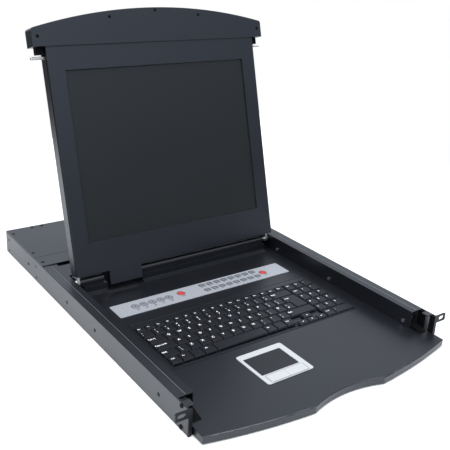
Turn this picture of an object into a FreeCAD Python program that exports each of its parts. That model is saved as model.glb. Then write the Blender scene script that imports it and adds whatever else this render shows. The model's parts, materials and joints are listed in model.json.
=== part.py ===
"""Rackmount LCD console drawer: a one-unit steel chassis, a keyboard drawer on ball slides
and a folding 17 inch flat screen.

Frame, in millimetres: X to the right, Y into the rack, Z up.  The origin is on the underside of
the chassis, in the plane of the rack ears and midway between the side walls.
The screen is modelled upright about its hinge axis, then placed there and tilted back.
"""

import FreeCAD, Part
import os
import re
from FreeCAD import Placement, Rotation, Vector

SIZES = {
    # chassis
    "chassis_depth": 612, "wall_height": 38.8, "steel": 1.5,
    "flange_width": 11.8, "flange_front": 6, "cover_steel": 1.2, "seam_gap": 0.9,
    "cover_gap": 1, "cover_strip_depth": 36, "pin_notch_depth": 8.5, "part_gap": 0.3,
    # rack ears
    "rack_width": 482.6, "ear_tab_width": 19.3, "ear_steel": 2, "ear_tab_height": 12, "ear_height": 39.6,
    "ear_lip": 4.5, "ear_leg_depth": 30, "ear_slot_inset": 8.75, "ear_slot_height": 6.6,
    "ear_slot_length": 11.5,
    # ball slides
    "slide_height": 18, "slide_front": 32, "slide_rear_room": 80, "slide_space": 21,
    "slide_steel": 1.5, "slide_half": 15.5, "slide_reach": 12.5, "slide_travel": 400,
    "rail_gap": 2.5, "ball_size": 3, "ball_play": 0.1, "cage_steel": 0.6, "cage_width": 4.4,
    "cage_length": 200, "cage_clearance": 0.05,
    # drawer tray and decks
    "floor_clearance": 1, "deck_clearance": 0.5, "deck_top": 12, "deck_skin": 2, "deck_wall": 3,
    "deck_side_gap": 0.3, "plate_side_room": 4.5, "plate_depth": 25.5, "bow": 27,
    "front_overhang": 49.5, "scoop_half": 68, "scoop_depth": 13.1, "tray_lip": 9.3,
    "tray_front": 26, "tray_rear_gap": 8.5, "rear_deck_depth": 40.5, "rear_deck_top": 38.5,
    "rear_deck_skin": 1.5, "rear_deck_room": 17,
    # keyboard
    "key_pitch": 18.44, "key_row": 19.3, "key_gap": 1.1, "key_taper": 1.3, "key_cap": 2.4,
    "key_round": 0.6, "key_top": 14.4, "keys_left": -168, "keys_front": 120.5,
    "function_row": 13, "keypad_step": 1.2, "keypad_pitch": 18.17, "keypad_front": 113.5,
    "arrow_row": 13.2, "stem_radius": 2, "stem_clearance": 0.3, "stem_length": 5.6,
    "frame_margin": 2, "frame_back_margin": 13,
    "frame_base": 8.2, "frame_floor": 1.8, "frame_rim": 12.6, "frame_rim_width": 1.3,
    # control strip
    "strip_left": -168.7, "strip_right": 164.4, "strip_front": 268.5, "strip_back": 307.5,
    "strip_cap": 0.8, "strip_plug": 2.6, "strip_lip": 2.5, "button_radius": 5.8,
    "button_clearance": 0.3, "button_top": 13.3, "button_flange": 1.2,
    "button_foot": 1.4, "menu_left": -132, "menu_pitch": 15.3, "menu_line": 290,
    "power_centre": -46.5, "power_line": 292, "reset_centre": 120, "reset_line": 288,
    "port_left": -1, "port_pitch": 14.9, "port_front_line": 282, "port_back_line": 299,
    "port_width": 8.6, "port_depth": 5.2,
    # touchpad
    "pad_left": -84, "pad_right": -4, "pad_front": 18.5, "pad_back": 93, "pad_corner": 4,
    "pad_cap": 1, "window_left": -79, "window_right": -14, "window_front": 39, "window_back": 82,
    "pad_button_left": -76, "pad_button_right": -12, "pad_button_front": 20.5,
    "pad_button_back": 36.5, "pad_button_split": -44, "pad_button_gap": 0.3, "pad_travel": 0.8,
    # screen
    "lcd_side_gap": 2, "lcd_thickness": 24.4, "lcd_setback": 16, "lcd_bottom": 10.7,
    "screen_width": 338, "screen_height": 270.9, "screen_sill": 50.5, "screen_head": 37,
    "lcd_skin": 2, "bezel_skin": 2.8, "panel_rim": 10.5, "panel_thickness": 10.2,
    "seam_front": 4.9, "closed_gap": 3.6, "lcd_tilt": 15.8, "bar_side_depth": 27.6,
    "bar_proud": 2.5, "bar_thickness": 25, "bar_corner": 4.5, "bar_wall": 3, "bar_pocket_depth": 15,
    "bar_screw_inset": 9,
    # hinge
    "barrel_radius": 6, "barrel_left_inset": 8, "barrel_left_inner": -146.5,
    "barrel_right_inner": -77, "barrel_right_inset": 13.5, "barrel_foot": 8,
    "hinge_pin_radius": 3, "hinge_pin_clearance": 0.06, "hinge_pin_length": 40,
    "arm_inset": 2.5, "arm_steel": 5, "arm_foot_steel": 1.8, "arm_foot_width": 12,
    "base_ramp": 2.7, "base_depth": 25,
    "base_inset": 13, "tongue_left": -140, "tongue_right": -82, "tongue_reach": 12.3,
    "tongue_thickness": 8, "well_gap": 2,
    # screen latches and drawer catches
    "latch_reach": 13.3, "latch_length": 11, "latch_seam_gap": 0.3, "latch_thickness": 10,
    "latch_rear": 9.5, "latch_inner": 6.5, "latch_travel": 8.5, "latch_gap": 0.5,
    "latch_pin_radius": 2.5, "latch_pin_reach": 21.5, "latch_pin_drop": 16.1,
    "catch_gap": 0.6, "catch_width": 12.4, "catch_front": 5.5, "catch_back": 24,
    "catch_low": 0.8, "catch_high": 6, "catch_rib": 0.5, "catch_travel": 2,
    # screws
    "screw_head_radius": 3, "screw_head": 1.2, "screw_shank_radius": 2, "screw_fit": 0.1,
    "bar_screw_radius": 2.6,
    # rear compartment
    "inlet_inset": 24.5, "inlet_width": 27, "inlet_height": 19.4, "inlet_depth": 22,
    "inlet_wall": 1.8, "inlet_base": 9, "supply_inset": 19.5, "supply_width": 96,
    "supply_height": 29, "supply_gap": 8, "board_left": -92, "board_right": 205,
    "board_depth": 48, "board_height": 8, "board_thickness": 1.6, "post_radius": 2.5,
    "connector_pitch": 34, "connector_left": -70, "connector_width": 17, "connector_height": 9,
    "connector_nose": 5, "connector_body": 13, "flat_cable": 0.4,
}

NAMED = {
    # chassis
    "half_width": "rack_width / 2 - ear_tab_width",
    "wall_inside": "half_width - steel",
    "flange_inner": "half_width - flange_width",
    "cover_start": "drawer_rear + cover_gap",
    "cover_seam": "cover_start + cover_strip_depth",
    "rear_inside": "chassis_depth - steel",
    "ear_slot_height_at": "ear_height - ear_tab_height / 2",
    "ear_slot_across": "rack_width / 2 - ear_slot_inset",
    # slides, widths from the middle of the chassis and heights from the slide's centre
    "slide_rear": "chassis_depth - slide_rear_room",
    "outer_web": "wall_inside - slide_steel",
    "middle_outside": "outer_web - rail_gap",
    "middle_web": "middle_outside - slide_steel",
    "ball_gap": "ball_size + ball_play",
    "middle_half": "slide_half - slide_steel - ball_gap",
    "inner_half": "middle_half - slide_steel - ball_gap",
    "tray_outside": "wall_inside - slide_space",
    "inner_web": "tray_outside + slide_steel",
    "outer_edge": "wall_inside - slide_reach",
    "middle_edge": "outer_edge - 4",
    "inner_edge": "tray_outside + slide_reach - 1",
    # drawer
    "tray_inside": "tray_outside - steel",
    "tray_base": "steel + floor_clearance",
    "tray_floor": "tray_base + steel",
    "plate_half": "wall_inside - plate_side_room",
    "deck_half": "tray_inside - deck_side_gap",
    "deck_rear": "hinge_line - lcd_setback - 2",
    "deck_base": "steel + deck_clearance",
    "bow_radius": "(plate_half * plate_half + bow * bow) / (2 * bow)",
    "drawer_rear": "rear_deck_back + tray_rear_gap",
    "rear_deck_front": "hinge_line + rear_deck_room",
    "rear_deck_back": "rear_deck_front + rear_deck_depth",
    # keys
    "cap_base": "key_top - key_cap",
    "keys_right": "keys_left + 15.2 * key_pitch",
    "keys_back": "keys_front + 5 * key_row + function_row",
    "keypad_left": "keys_right + keypad_step",
    "frame_left": "keys_left - frame_margin",
    "frame_right": "keypad_left + 3 * keypad_pitch + frame_margin",
    "frame_front": "keypad_front - frame_margin",
    "frame_back": "keys_back + frame_back_margin",
    # screen, measured from the hinge axis
    "lcd_half": "tray_inside - lcd_side_gap",
    "lcd_back": "lcd_thickness - lcd_setback",
    "screen_low": "lcd_bottom + screen_sill",
    "screen_high": "screen_low + screen_height",
    "seam": "screen_high + screen_head",
    "bezel_back": "bezel_skin - lcd_setback",
    "closed_face": "deck_top + closed_gap",
    "hinge_line": "seam_front + seam",
    "hinge_height": "closed_face + lcd_setback",
    "bar_front": "0 - lcd_setback - bar_proud",
    "bar_back": "bar_front + bar_thickness",
    "bar_end": "seam + bar_side_depth",
    "bar_top": "bar_end + bow",
    "barrel_left_outer": "0 - lcd_half + barrel_left_inset",
    "barrel_right_outer": "lcd_half - barrel_right_inset",
    "arm_outer": "lcd_half - arm_inset",
    "arm_inner": "arm_outer - arm_steel",
    "arm_foot_inner": "lcd_half - arm_foot_width",
    "hinge_pin_end": "arm_outer - hinge_pin_length",
    "base_half": "lcd_half - base_inset",
    "barrel_base": "hinge_height - barrel_radius - 0.4",
    "base_front": "hinge_line - lcd_bottom + 0.7",
    "tongue_sweep": "sqrt(lcd_setback * lcd_setback + tongue_reach * tongue_reach)",
    "latch_outer": "lcd_half + latch_reach",
    "latch_top": "seam - latch_seam_gap",
    "latch_low": "latch_top - latch_length",
    "latch_front": "0 - latch_rear",
    "latch_back": "latch_front + latch_thickness",
    "latch_pin_tip": "lcd_half + latch_pin_reach",
    "latch_pin_at": "seam - latch_pin_drop",
    "latch_pin_depth": "(latch_front + latch_back) / 2",
    "catch_inner": "tray_inside + catch_gap",
    "catch_outer": "catch_inner + catch_width",
    # rear compartment
    "inlet_centre": "inlet_inset - wall_inside",
    "supply_left": "supply_inset - wall_inside",
    "supply_front": "cover_start + supply_gap",
    "supply_rear": "rear_inside - inlet_depth - supply_gap",
}

FUNCTIONS = ("sqrt", "min", "max")
SIDES = (("left", -1), ("right", 1))
X, Y, Z = Vector(1, 0, 0), Vector(0, 1, 0), Vector(0, 0, 1)

doc = FreeCAD.newDocument("rackmount_lcd_console_drawer")
sheet = doc.addObject("Spreadsheet::Sheet", "sizes")
for row, (word, size) in enumerate(SIZES.items(), start=1):
    sheet.set(f"A{row}", word)
    sheet.set(f"B{row}", str(size))
    sheet.setAlias(f"B{row}", word)
doc.recompute()

nodes = []


def formula(text):
    """A formula in plain words, as an expression over the sheet's cells."""
    def cell(match):
        word = match.group(0)
        if word in FUNCTIONS:
            return word
        if word in NAMED:
            return f"({formula(NAMED[word])})"
        return f"sizes.{word}"
    return re.sub(r"[a-z][a-z_]*", cell, str(text))


def size_of(text):
    """The present value of a formula."""
    return float(sheet.evalExpression(formula(text)))


def bind(piece, name, text):
    piece.setExpression(name, formula(text))


def place(piece, x, y, z):
    for axis, text in zip("xyz", (x, y, z)):
        bind(piece, f"Placement.Base.{axis}", text)
    return piece


def box(name, x, y, z):
    """A block between two formulas along each axis."""
    piece = doc.addObject("Part::Box", name)
    for side, (low, high) in zip(("Length", "Width", "Height"), (x, y, z)):
        bind(piece, side, f"({high}) - ({low})")
    return place(piece, x[0], y[0], z[0])


def rod(name, axis, start, radius, length):
    """A cylinder that starts at a point and runs along an axis."""
    piece = doc.addObject("Part::Cylinder", name)
    piece.Placement = Placement(Vector(), Rotation(Z, axis))
    bind(piece, "Radius", radius)
    bind(piece, "Height", length)
    return place(piece, *start)


def taper(name, x, y, z, inset):
    """A block whose top face is drawn in on all four sides."""
    piece = doc.addObject("Part::Wedge", name)
    piece.Placement = Placement(Vector(), Rotation(X, 90))
    width, depth = f"({x[1]}) - ({x[0]})", f"({y[1]}) - ({y[0]})"
    ends = {"Xmin": 0, "Ymin": 0, "Zmin": 0, "Xmax": width, "Zmax": depth,
            "Ymax": f"({z[1]}) - ({z[0]})", "X2min": inset, "Z2min": inset,
            "X2max": f"{width} - {inset}", "Z2max": f"{depth} - {inset}"}
    for end, text in ends.items():
        bind(piece, end, text)
    return place(piece, x[0], y[1], z[0])


def join(name, *pieces):
    piece = doc.addObject("Part::MultiFuse", name)
    piece.Shapes = list(pieces)
    piece.Refine = True
    return piece


def group(name, pieces):
    piece = doc.addObject("Part::Compound", name)
    piece.Links = list(pieces)
    return piece


def cut(name, base, *tools):
    piece = doc.addObject("Part::Cut", name)
    piece.Base = base
    piece.Tool = tools[0] if len(tools) == 1 else group(name + "_tools", tools)
    return piece


def overlap(name, *pieces):
    piece = doc.addObject("Part::MultiCommon", name)
    piece.Shapes = list(pieces)
    return piece


def rounded(name, base, radius, chosen):
    """Rounds the edges of a piece that a test picks by their middle and direction."""
    doc.recompute()
    piece = doc.addObject("Part::Fillet", name)
    piece.Base = base
    edges = []
    for index, edge in enumerate(base.Shape.Edges, start=1):
        middle = edge.valueAt((edge.FirstParameter + edge.LastParameter) / 2)
        first, last = edge.Vertexes[0].Point, edge.Vertexes[-1].Point
        if chosen(middle, last - first):
            edges.append((index, size_of(radius), size_of(radius)))
    piece.Edges = edges
    return piece


def span(sign, near, far):
    """Left or right stretch between two distances from the middle, low end first."""
    return (near, far) if sign > 0 else (f"0 - ({far})", f"0 - ({near})")


def out(sign, distance):
    return distance if sign > 0 else f"0 - ({distance})"


def node(label, piece):
    """Gives a sub-part its label and puts it on the list of what is written."""
    piece.Label = label
    nodes.append(piece)
    return piece


def lcd_node(label, piece):
    """A sub-part of the screen: drawn about the hinge axis, put there and tilted back."""
    piece = group(label + "_upright", [piece])
    piece.Placement = Placement(Vector(), Rotation(X, -1))
    place(piece, 0, "hinge_line", "hinge_height")
    bind(piece, "Placement.Rotation.Angle", "0 - lcd_tilt")
    return node(label, piece)


def screw(name, axis, point, radius="screw_head_radius", length="steel * 2"):
    """A pan screw: its head's outer face at the point, its shank along the axis."""
    head = rod(name + "_head", axis, point, radius, "screw_head")
    shank = rod(name + "_shank", axis, point, "screw_shank_radius", f"screw_head + ({length})")
    across = [axis.cross(other) for other in (X, Y, Z) if axis.cross(other).Length > 0.5]
    slots = []
    for number, way in enumerate(across):
        slot = doc.addObject("Part::Box", f"{name}_slot{number}")
        bind(slot, "Length", f"{radius} * 1.1")
        bind(slot, "Width", f"{radius} * 0.22")
        bind(slot, "Height", "screw_head")
        slot.Placement = Placement(Vector(), Rotation(way, axis.cross(way), axis, "ZXY"))
        corner = [f"({middle}) - {radius} * ({0.55 * a + 0.11 * b:.4f}) - screw_head * ({0.5 * c:.4f})"
                  for middle, a, b, c in zip(point, way, axis.cross(way), axis)]
        slots.append(place(slot, *corner))
    return cut(name, join(name + "_body", head, shank), join(name + "_cross", *slots))


def hole(name, axis, point, radius="screw_shank_radius", length="steel * 4"):
    """A drill that passes the point both ways along the axis."""
    start = [f"({middle}) - ({length}) / 2 * ({direction:.0f})"
             for middle, direction in zip(point, axis)]
    return rod(name, axis, start, f"{radius} + screw_fit", length)


# Chassis ------------------------------------------------------------------------------------

SLIDE_SCREWS = ("slide_front + 36", "slide_front + 216", "slide_front + 313",
                "slide_rear - 27.3")
REAR_BRACKET_HOLES = (("14", "7"), ("14", "27"), ("142", "7"), ("142", "27"))
EAR_SCREW_HEIGHTS = ("4.2", "34.6")


def make_chassis_tray():
    """Floor, side walls and the inward top flanges, folded from one sheet."""
    sheets = [box("floor", ("0 - half_width", "half_width"), ("0", "chassis_depth"), ("0", "steel"))]
    drills = []
    for side, sign in SIDES:
        sheets.append(box(f"wall_{side}", span(sign, "wall_inside", "half_width"),
                          ("0", "chassis_depth"), ("0", "wall_height")))
        sheets.append(box(f"flange_{side}", span(sign, "flange_inner", "half_width"),
                          ("flange_front", "chassis_depth"), ("wall_height - steel", "wall_height")))
        drills.append(box(f"pin_notch_{side}", span(sign, "flange_inner - steel", "wall_inside"),
                          ("tray_front - pin_notch_depth", "tray_front"),
                          ("wall_height - steel * 2", "wall_height + steel")))
        wall = out(sign, "half_width - steel / 2")
        for number, along in enumerate(SLIDE_SCREWS):
            drills.append(hole(f"slide_hole_{side}{number}", X, (wall, along, "slide_height")))
        for number, (setback, height) in enumerate(REAR_BRACKET_HOLES):
            drills.append(hole(f"bracket_hole_{side}{number}", X,
                               (wall, f"chassis_depth - {setback}", height)))
        for number, height in enumerate(EAR_SCREW_HEIGHTS):
            drills.append(hole(f"ear_hole_{side}{number}", X, (wall, "ear_leg_depth / 2", height)))
        for number, along in enumerate(cover_screw_lines()):
            drills.append(hole(f"cover_hole_{side}{number}", Z,
                               (out(sign, "half_width - 6.5"), along, "wall_height - steel / 2")))
    node("chassis_tray", cut("chassis_cut", join("chassis_folded", *sheets), *drills))


def cover_screw_lines():
    """Two screws a side through the lid, then one through the strip in front of it."""
    return ["chassis_depth - 20.5", "cover_seam + 20", "cover_start + 14.4"]


def make_covers():
    """The lid over the rear compartment and the narrow strip in front of it."""
    spans = (("top_cover", "cover_seam + seam_gap", "chassis_depth", cover_screw_lines()[:2]),
             ("cover_front_strip", "cover_start", "cover_seam", cover_screw_lines()[2:]))
    for label, front, back, lines in spans:
        lid = box(label + "_sheet", ("0 - half_width", "half_width"), (front, back),
                  ("wall_height", "wall_height + cover_steel"))
        drills = [hole(f"{label}_hole_{side}{number}", Z,
                       (out(sign, "half_width - 6.5"), along, "wall_height"), "screw_head_radius")
                  for side, sign in SIDES for number, along in enumerate(lines)]
        node(label, cut(label + "_cut", lid, *drills))


def make_rear_panel():
    """The upright rear sheet with the mains inlet and the computer ports."""
    panel = box("rear_sheet", ("0 - wall_inside", "wall_inside"), ("rear_inside", "chassis_depth"),
                ("steel", "wall_height - steel"))
    behind = ("rear_inside - steel", "chassis_depth + steel")
    cuts = [box("inlet_cut", ("inlet_centre - inlet_width / 2 - part_gap",
                              "inlet_centre + inlet_width / 2 + part_gap"), behind,
                ("inlet_base - part_gap", "inlet_base + inlet_height + part_gap"))]
    for number in range(8):
        x, z = connector(number)
        cuts.append(box(f"port_cut{number}", (f"{x[0]} - part_gap", f"{x[1]} + part_gap"), behind,
                        (f"{z[0]} - part_gap", f"{z[1]} + part_gap")))
    node("rear_panel", cut("rear_cut", panel, *cuts))


def connector(number):
    """Width and height of one computer port, which stands on the switch board."""
    left = f"connector_left + {number} * connector_pitch"
    base = "board_height + board_thickness"
    return (left, f"{left} + connector_width"), (base, f"{base} + connector_height")


def make_rear_compartment():
    """Mains inlet, power supply and the board that switches between the computers."""
    inlet = box("inlet_block", ("inlet_centre - inlet_width / 2", "inlet_centre + inlet_width / 2"),
                ("rear_inside - inlet_depth", "chassis_depth"),
                ("inlet_base", "inlet_base + inlet_height"))
    socket = box("inlet_socket", ("inlet_centre - inlet_width / 2 + inlet_wall",
                                  "inlet_centre + inlet_width / 2 - inlet_wall"),
                 ("chassis_depth - inlet_depth * 0.75", "chassis_depth + steel"),
                 ("inlet_base + inlet_wall", "inlet_base + inlet_height - inlet_wall"))
    rim = box("inlet_rim", ("inlet_centre - inlet_width / 2 - 2", "inlet_centre + inlet_width / 2 + 2"),
              ("chassis_depth", "chassis_depth + 2"), ("inlet_base - 2", "inlet_base + inlet_height + 2"))
    rim_hole = box("inlet_rim_hole", ("inlet_centre - inlet_width / 2 + inlet_wall",
                                      "inlet_centre + inlet_width / 2 - inlet_wall"),
                   ("chassis_depth - steel", "chassis_depth + steel * 3"),
                   ("inlet_base + inlet_wall", "inlet_base + inlet_height - inlet_wall"))
    blades = [box(f"inlet_blade{number}",
                  (f"inlet_centre + ({offset}) - 1", f"inlet_centre + ({offset}) + 1"),
                  ("chassis_depth - inlet_depth * 0.75 - 1", "chassis_depth - 3"),
                  ("inlet_base + inlet_height / 2 - 2", "inlet_base + inlet_height / 2 + 2"))
              for number, offset in enumerate((-7, 0, 7))]
    housing = cut("inlet_housing", join("inlet_body", inlet, rim), join("inlet_room", socket, rim_hole))
    node("power_inlet", join("inlet_with_blades", housing, *blades))

    node("power_supply", rounded("supply_case", box(
        "supply_block", ("supply_left", "supply_left + supply_width"), ("supply_front", "supply_rear"),
        ("steel", "steel + supply_height")), "steel", lambda middle, way: abs(way.z) > 1))

    board = box("switch_sheet", ("board_left", "board_right"),
                ("rear_inside - board_depth", "rear_inside - part_gap"),
                ("board_height", "board_height + board_thickness"))
    posts = [rod(f"switch_post{number}", Z, (x, y, "steel"), "post_radius", "board_height - steel")
             for number, (x, y) in enumerate((x, y) for x in ("board_left + 8", "board_right - 8")
                                             for y in ("rear_inside - board_depth + 8", "rear_inside - 8"))]
    node("switch_board", join("switch_board_on_posts", board, *posts))

    ports = []
    for number in range(8):
        x, z = connector(number)
        nose = box(f"port_nose{number}", x, ("rear_inside - part_gap", "chassis_depth + connector_nose"), z)
        body = box(f"port_body{number}", (f"{x[0]} - 6", f"{x[1]} + 6"),
                   ("rear_inside - part_gap - connector_body", "rear_inside - part_gap"), z)
        ports.append(join(f"port{number}", nose, body))
    node("port_connectors", group("ports", ports))


def make_rack_ears():
    """Angle brackets: a leg inside the side wall, a narrow front lip and the slotted tab."""
    tab_base = "ear_height - ear_tab_height"
    for side, sign in SIDES:
        lip = box(f"ear_lip_{side}", span(sign, "half_width - ear_lip", "half_width + 0.5"),
                  ("0 - ear_steel", "0"), ("0", "ear_height"))
        tab = box(f"ear_tab_{side}", span(sign, "half_width", "rack_width / 2"),
                  ("0 - ear_steel", "0"), (tab_base, "ear_height"))
        tab = rounded(f"ear_tab_round_{side}", tab, "ear_steel",
                      lambda middle, way, sign=sign: abs(way.y) > 1 and middle.x * sign > 230)
        leg = box(f"ear_leg_{side}", span(sign, "wall_inside - steel", "wall_inside"),
                  ("0 - ear_steel", "ear_leg_depth"),
                  ("steel + part_gap", "wall_height - steel - part_gap"))
        middle = out(sign, "ear_slot_across")
        half = "(ear_slot_length - ear_slot_height) / 2"
        ends = [rod(f"ear_slot_end_{side}{number}", Y,
                    (f"{middle} {way} {half}", "0 - ear_steel * 2", "ear_slot_height_at"),
                    "ear_slot_height / 2", "ear_steel * 3") for number, way in enumerate("-+")]
        slot = box(f"ear_slot_mid_{side}", (f"{middle} - {half}", f"{middle} + {half}"),
                   ("0 - ear_steel * 2", "ear_steel"),
                   ("ear_slot_height_at - ear_slot_height / 2", "ear_slot_height_at + ear_slot_height / 2"))
        drills = [hole(f"ear_leg_hole_{side}{number}", X,
                       (out(sign, "wall_inside"), "ear_leg_depth / 2", height))
                  for number, height in enumerate(EAR_SCREW_HEIGHTS)]
        node(f"rack_ear_{side}", cut(f"ear_cut_{side}", join(f"ear_folded_{side}", lip, tab, leg),
                                     join(f"ear_slot_{side}", slot, *ends), *drills))


def make_chassis_screws():
    screws = []
    for side, sign in SIDES:
        inward, outward = X * -sign, X * sign
        for number, along in enumerate(cover_screw_lines()):
            screws.append(screw(f"cover_screw_{side}{number}", Z * -1,
                                (out(sign, "half_width - 6.5"), along, "wall_height + screw_head"),
                                length="steel"))
        for number, along in enumerate(SLIDE_SCREWS):
            screws.append(screw(f"slide_screw_{side}{number}", outward,
                                (out(sign, "outer_web - screw_head"), along, "slide_height")))
        for number, height in enumerate(EAR_SCREW_HEIGHTS):
            screws.append(screw(f"ear_screw_{side}{number}", inward,
                                (out(sign, "half_width + screw_head"), "ear_leg_depth / 2", height)))
    node("chassis_screws", group("all_chassis_screws", screws))


# Ball slides --------------------------------------------------------------------------------

def channel(name, sign, web, edge, half, front, back, drills):
    """A C rail: web near the first pair of distances, flanges out to the edge distance."""
    lower, upper = f"slide_height - ({half})", f"slide_height + ({half})"
    near, far = web
    flange = (edge, far) if edge_is_inside(edge, near) else (near, edge)
    pieces = [box(name + "_web", span(sign, near, far), (front, back), (lower, upper)),
              box(name + "_low", span(sign, *flange), (front, back), (lower, f"{lower} + slide_steel")),
              box(name + "_high", span(sign, *flange), (front, back), (f"{upper} - slide_steel", upper))]
    rail = join(name + "_folded", *pieces)
    return cut(name + "_drilled", rail, *drills) if drills else rail


def edge_is_inside(edge, web):
    return size_of(edge) < size_of(web)


def make_slides():
    for side, sign in SIDES:
        drills = [hole(f"outer_hole_{side}{number}", X, (out(sign, "outer_web"), along, "slide_height"))
                  for number, along in enumerate(SLIDE_SCREWS)]
        node(f"slide_outer_{side}", channel(
            f"outer_rail_{side}", sign, ("outer_web", "wall_inside"), "outer_edge", "slide_half",
            "slide_front", "slide_rear", drills))
        node(f"slide_middle_{side}", channel(
            f"middle_rail_{side}", sign, ("middle_web", "middle_outside"), "middle_edge",
            "middle_half", "slide_front", "slide_rear", []))
        drills = [hole(f"inner_hole_{side}{number}", X, (out(sign, "inner_web"), along, "slide_height"))
                  for number, along in enumerate(TRAY_SCREWS)]
        node(f"slide_inner_{side}", channel(
            f"inner_rail_{side}", sign, ("tray_outside", "inner_web"), "inner_edge", "inner_half",
            "slide_front", "drawer_rear", drills))


def make_ball_cages():
    """Thin strips between the rails' flanges, each with a row of loose balls in its holes."""
    rows = (("ball_cages_outer", "(outer_edge + middle_web) / 2", "middle_half + ball_gap / 2",
             "slide_front + slide_travel * 0.25"),
            ("ball_cages_inner", "(middle_edge + inner_edge) / 2", "inner_half + ball_gap / 2",
             "slide_front + slide_travel * 0.27"))
    balls_each = 8
    for label, across, height, start in rows:
        pieces = []
        for side, sign in SIDES:
            for level, way in (("low", "-"), ("high", "+")):
                name = f"{label}_{side}_{level}"
                z = f"slide_height {way} ({height})"
                strip = box(name + "_strip",
                            span(sign, f"{across} - cage_width / 2", f"{across} + cage_width / 2"),
                            (start, f"{start} + cage_length"),
                            (f"{z} - cage_steel / 2", f"{z} + cage_steel / 2"))
                balls, pockets = [], []
                for number in range(balls_each):
                    along = f"{start} + cage_length * {number + 0.5} / {balls_each}"
                    for made, word, radius in ((balls, "ball", "ball_size / 2"),
                                               (pockets, "pocket", "ball_size / 2 + cage_clearance")):
                        ball = doc.addObject("Part::Sphere", f"{name}_{word}{number}")
                        bind(ball, "Radius", radius)
                        made.append(place(ball, out(sign, across), along, z))
                pieces.append(cut(name + "_cage", strip, *pockets))
                pieces.extend(balls)
        node(label, group(label + "_set", pieces))


# Drawer -------------------------------------------------------------------------------------

TRAY_SCREWS = ("slide_front + 8", "slide_front + 173", "slide_front + 312")


def make_drawer_tray():
    """The sliding steel tray: floor, side walls with outward lips, low rear wall."""
    sheets = [box("tray_sheet", ("0 - tray_outside", "tray_outside"), ("tray_front", "drawer_rear"),
                  ("tray_base", "tray_floor")),
              box("tray_nose", ("deck_wall + part_gap - deck_half", "deck_half - deck_wall - part_gap"),
                  ("0 - front_overhang / 3", "tray_front"),
                  ("tray_base", "tray_floor")),
              box("tray_rear_wall", ("0 - tray_outside", "tray_outside"),
                  ("drawer_rear - steel", "drawer_rear"), ("tray_base", "wall_height - steel * 2"))]
    drills = []
    for side, sign in SIDES:
        sheets.append(box(f"tray_wall_{side}", span(sign, "tray_inside", "tray_outside"),
                          ("tray_front", "drawer_rear"), ("tray_base", "wall_height")))
        sheets.append(box(f"tray_lip_{side}", span(sign, "tray_inside", "tray_outside + tray_lip"),
                          ("tray_front", "drawer_rear"), ("wall_height - steel", "wall_height")))
        for number, along in enumerate(TRAY_SCREWS):
            drills.append(hole(f"tray_hole_{side}{number}", X,
                               (out(sign, "tray_outside - steel / 2"), along, "slide_height")))
    node("drawer_tray", cut("tray_cut", join("tray_folded", *sheets), *drills))
    screws = [screw(f"tray_screw_{side}{number}", X * sign,
                    (out(sign, "tray_inside - screw_head"), along, "slide_height"))
              for side, sign in SIDES for number, along in enumerate(TRAY_SCREWS)]
    node("drawer_screws", group("all_drawer_screws", screws))


def bowed(name, inset, y_back, z):
    """A block as wide as the front plate whose front edge is one long arc."""
    block = box(name + "_block", (f"0 - plate_half + {inset}", f"plate_half - {inset}"),
                (f"0 - front_overhang + {inset}", y_back), z)
    arc = rod(name + "_arc", Z, ("0", "bow_radius - front_overhang", z[0]),
              f"bow_radius - {inset}", f"({z[1]}) - ({z[0]})")
    return overlap(name, block, arc)


def make_front_deck():
    """The deck that carries the keyboard: bowed front with a finger scoop, open underneath."""
    scoop_radius = "(scoop_half * scoop_half + scoop_depth * scoop_depth) / (2 * scoop_depth)"
    scoop_centre = f"scoop_depth - front_overhang - {scoop_radius}"
    low_z, high_z = "deck_base", "deck_top"
    plate = bowed("plate", "0", "plate_depth", (low_z, high_z))
    scoop = rod("scoop", Z, ("2", scoop_centre, "deck_base - steel"), scoop_radius, "deck_top")
    plate = cut("plate_with_scoop", plate, scoop)
    plate = rounded("plate_round", plate, "deck_skin * 0.6",
                    lambda middle, way: abs(middle.z - size_of("deck_top")) < 0.01 and middle.y < 20)
    room_z = ("deck_base - steel", "deck_top - deck_skin")
    room = bowed("room", "deck_wall", "plate_depth - deck_wall", room_z)
    room_scoop = rod("room_scoop", Z, ("2", scoop_centre, "deck_base - steel"),
                     f"{scoop_radius} + deck_wall", "deck_top")
    room = cut("room_with_scoop", room, room_scoop)
    deck = box("deck_block", ("0 - deck_half", "deck_half"), ("plate_depth - deck_wall", "deck_rear"),
               ("tray_floor", "deck_top"))
    deck_room = box("deck_room", ("0 - deck_half + deck_wall", "deck_half - deck_wall"),
                    ("plate_depth - deck_wall * 2", "deck_rear - deck_wall"),
                    ("deck_base - steel", "deck_top - deck_skin"))
    solid = join("deck_solid", plate, deck)
    hollow = cut("deck_hollow", solid, join("deck_rooms", room, deck_room))
    through = ("deck_base", "deck_top + steel")
    openings = [
        box("keyboard_cut", ("frame_left", "frame_right"), ("frame_front", "frame_back"), through),
        box("strip_cut", ("strip_left + strip_lip", "strip_right - strip_lip"),
            ("strip_front + strip_lip", "strip_back - strip_lip"), through),
        box("pad_cut", ("pad_left + 2", "pad_right - 2"), ("pad_front + 1", "pad_back - 2"), through),
    ]
    slots = [box(f"catch_slot_{side}", span(sign, "catch_inner + 1", "catch_outer - 3"),
                 ("catch_front + 5 - part_gap", "catch_back - 5 + part_gap"), through)
             for side, sign in SIDES]
    node("front_deck", cut("deck_open", hollow, *openings, *slots))


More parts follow.
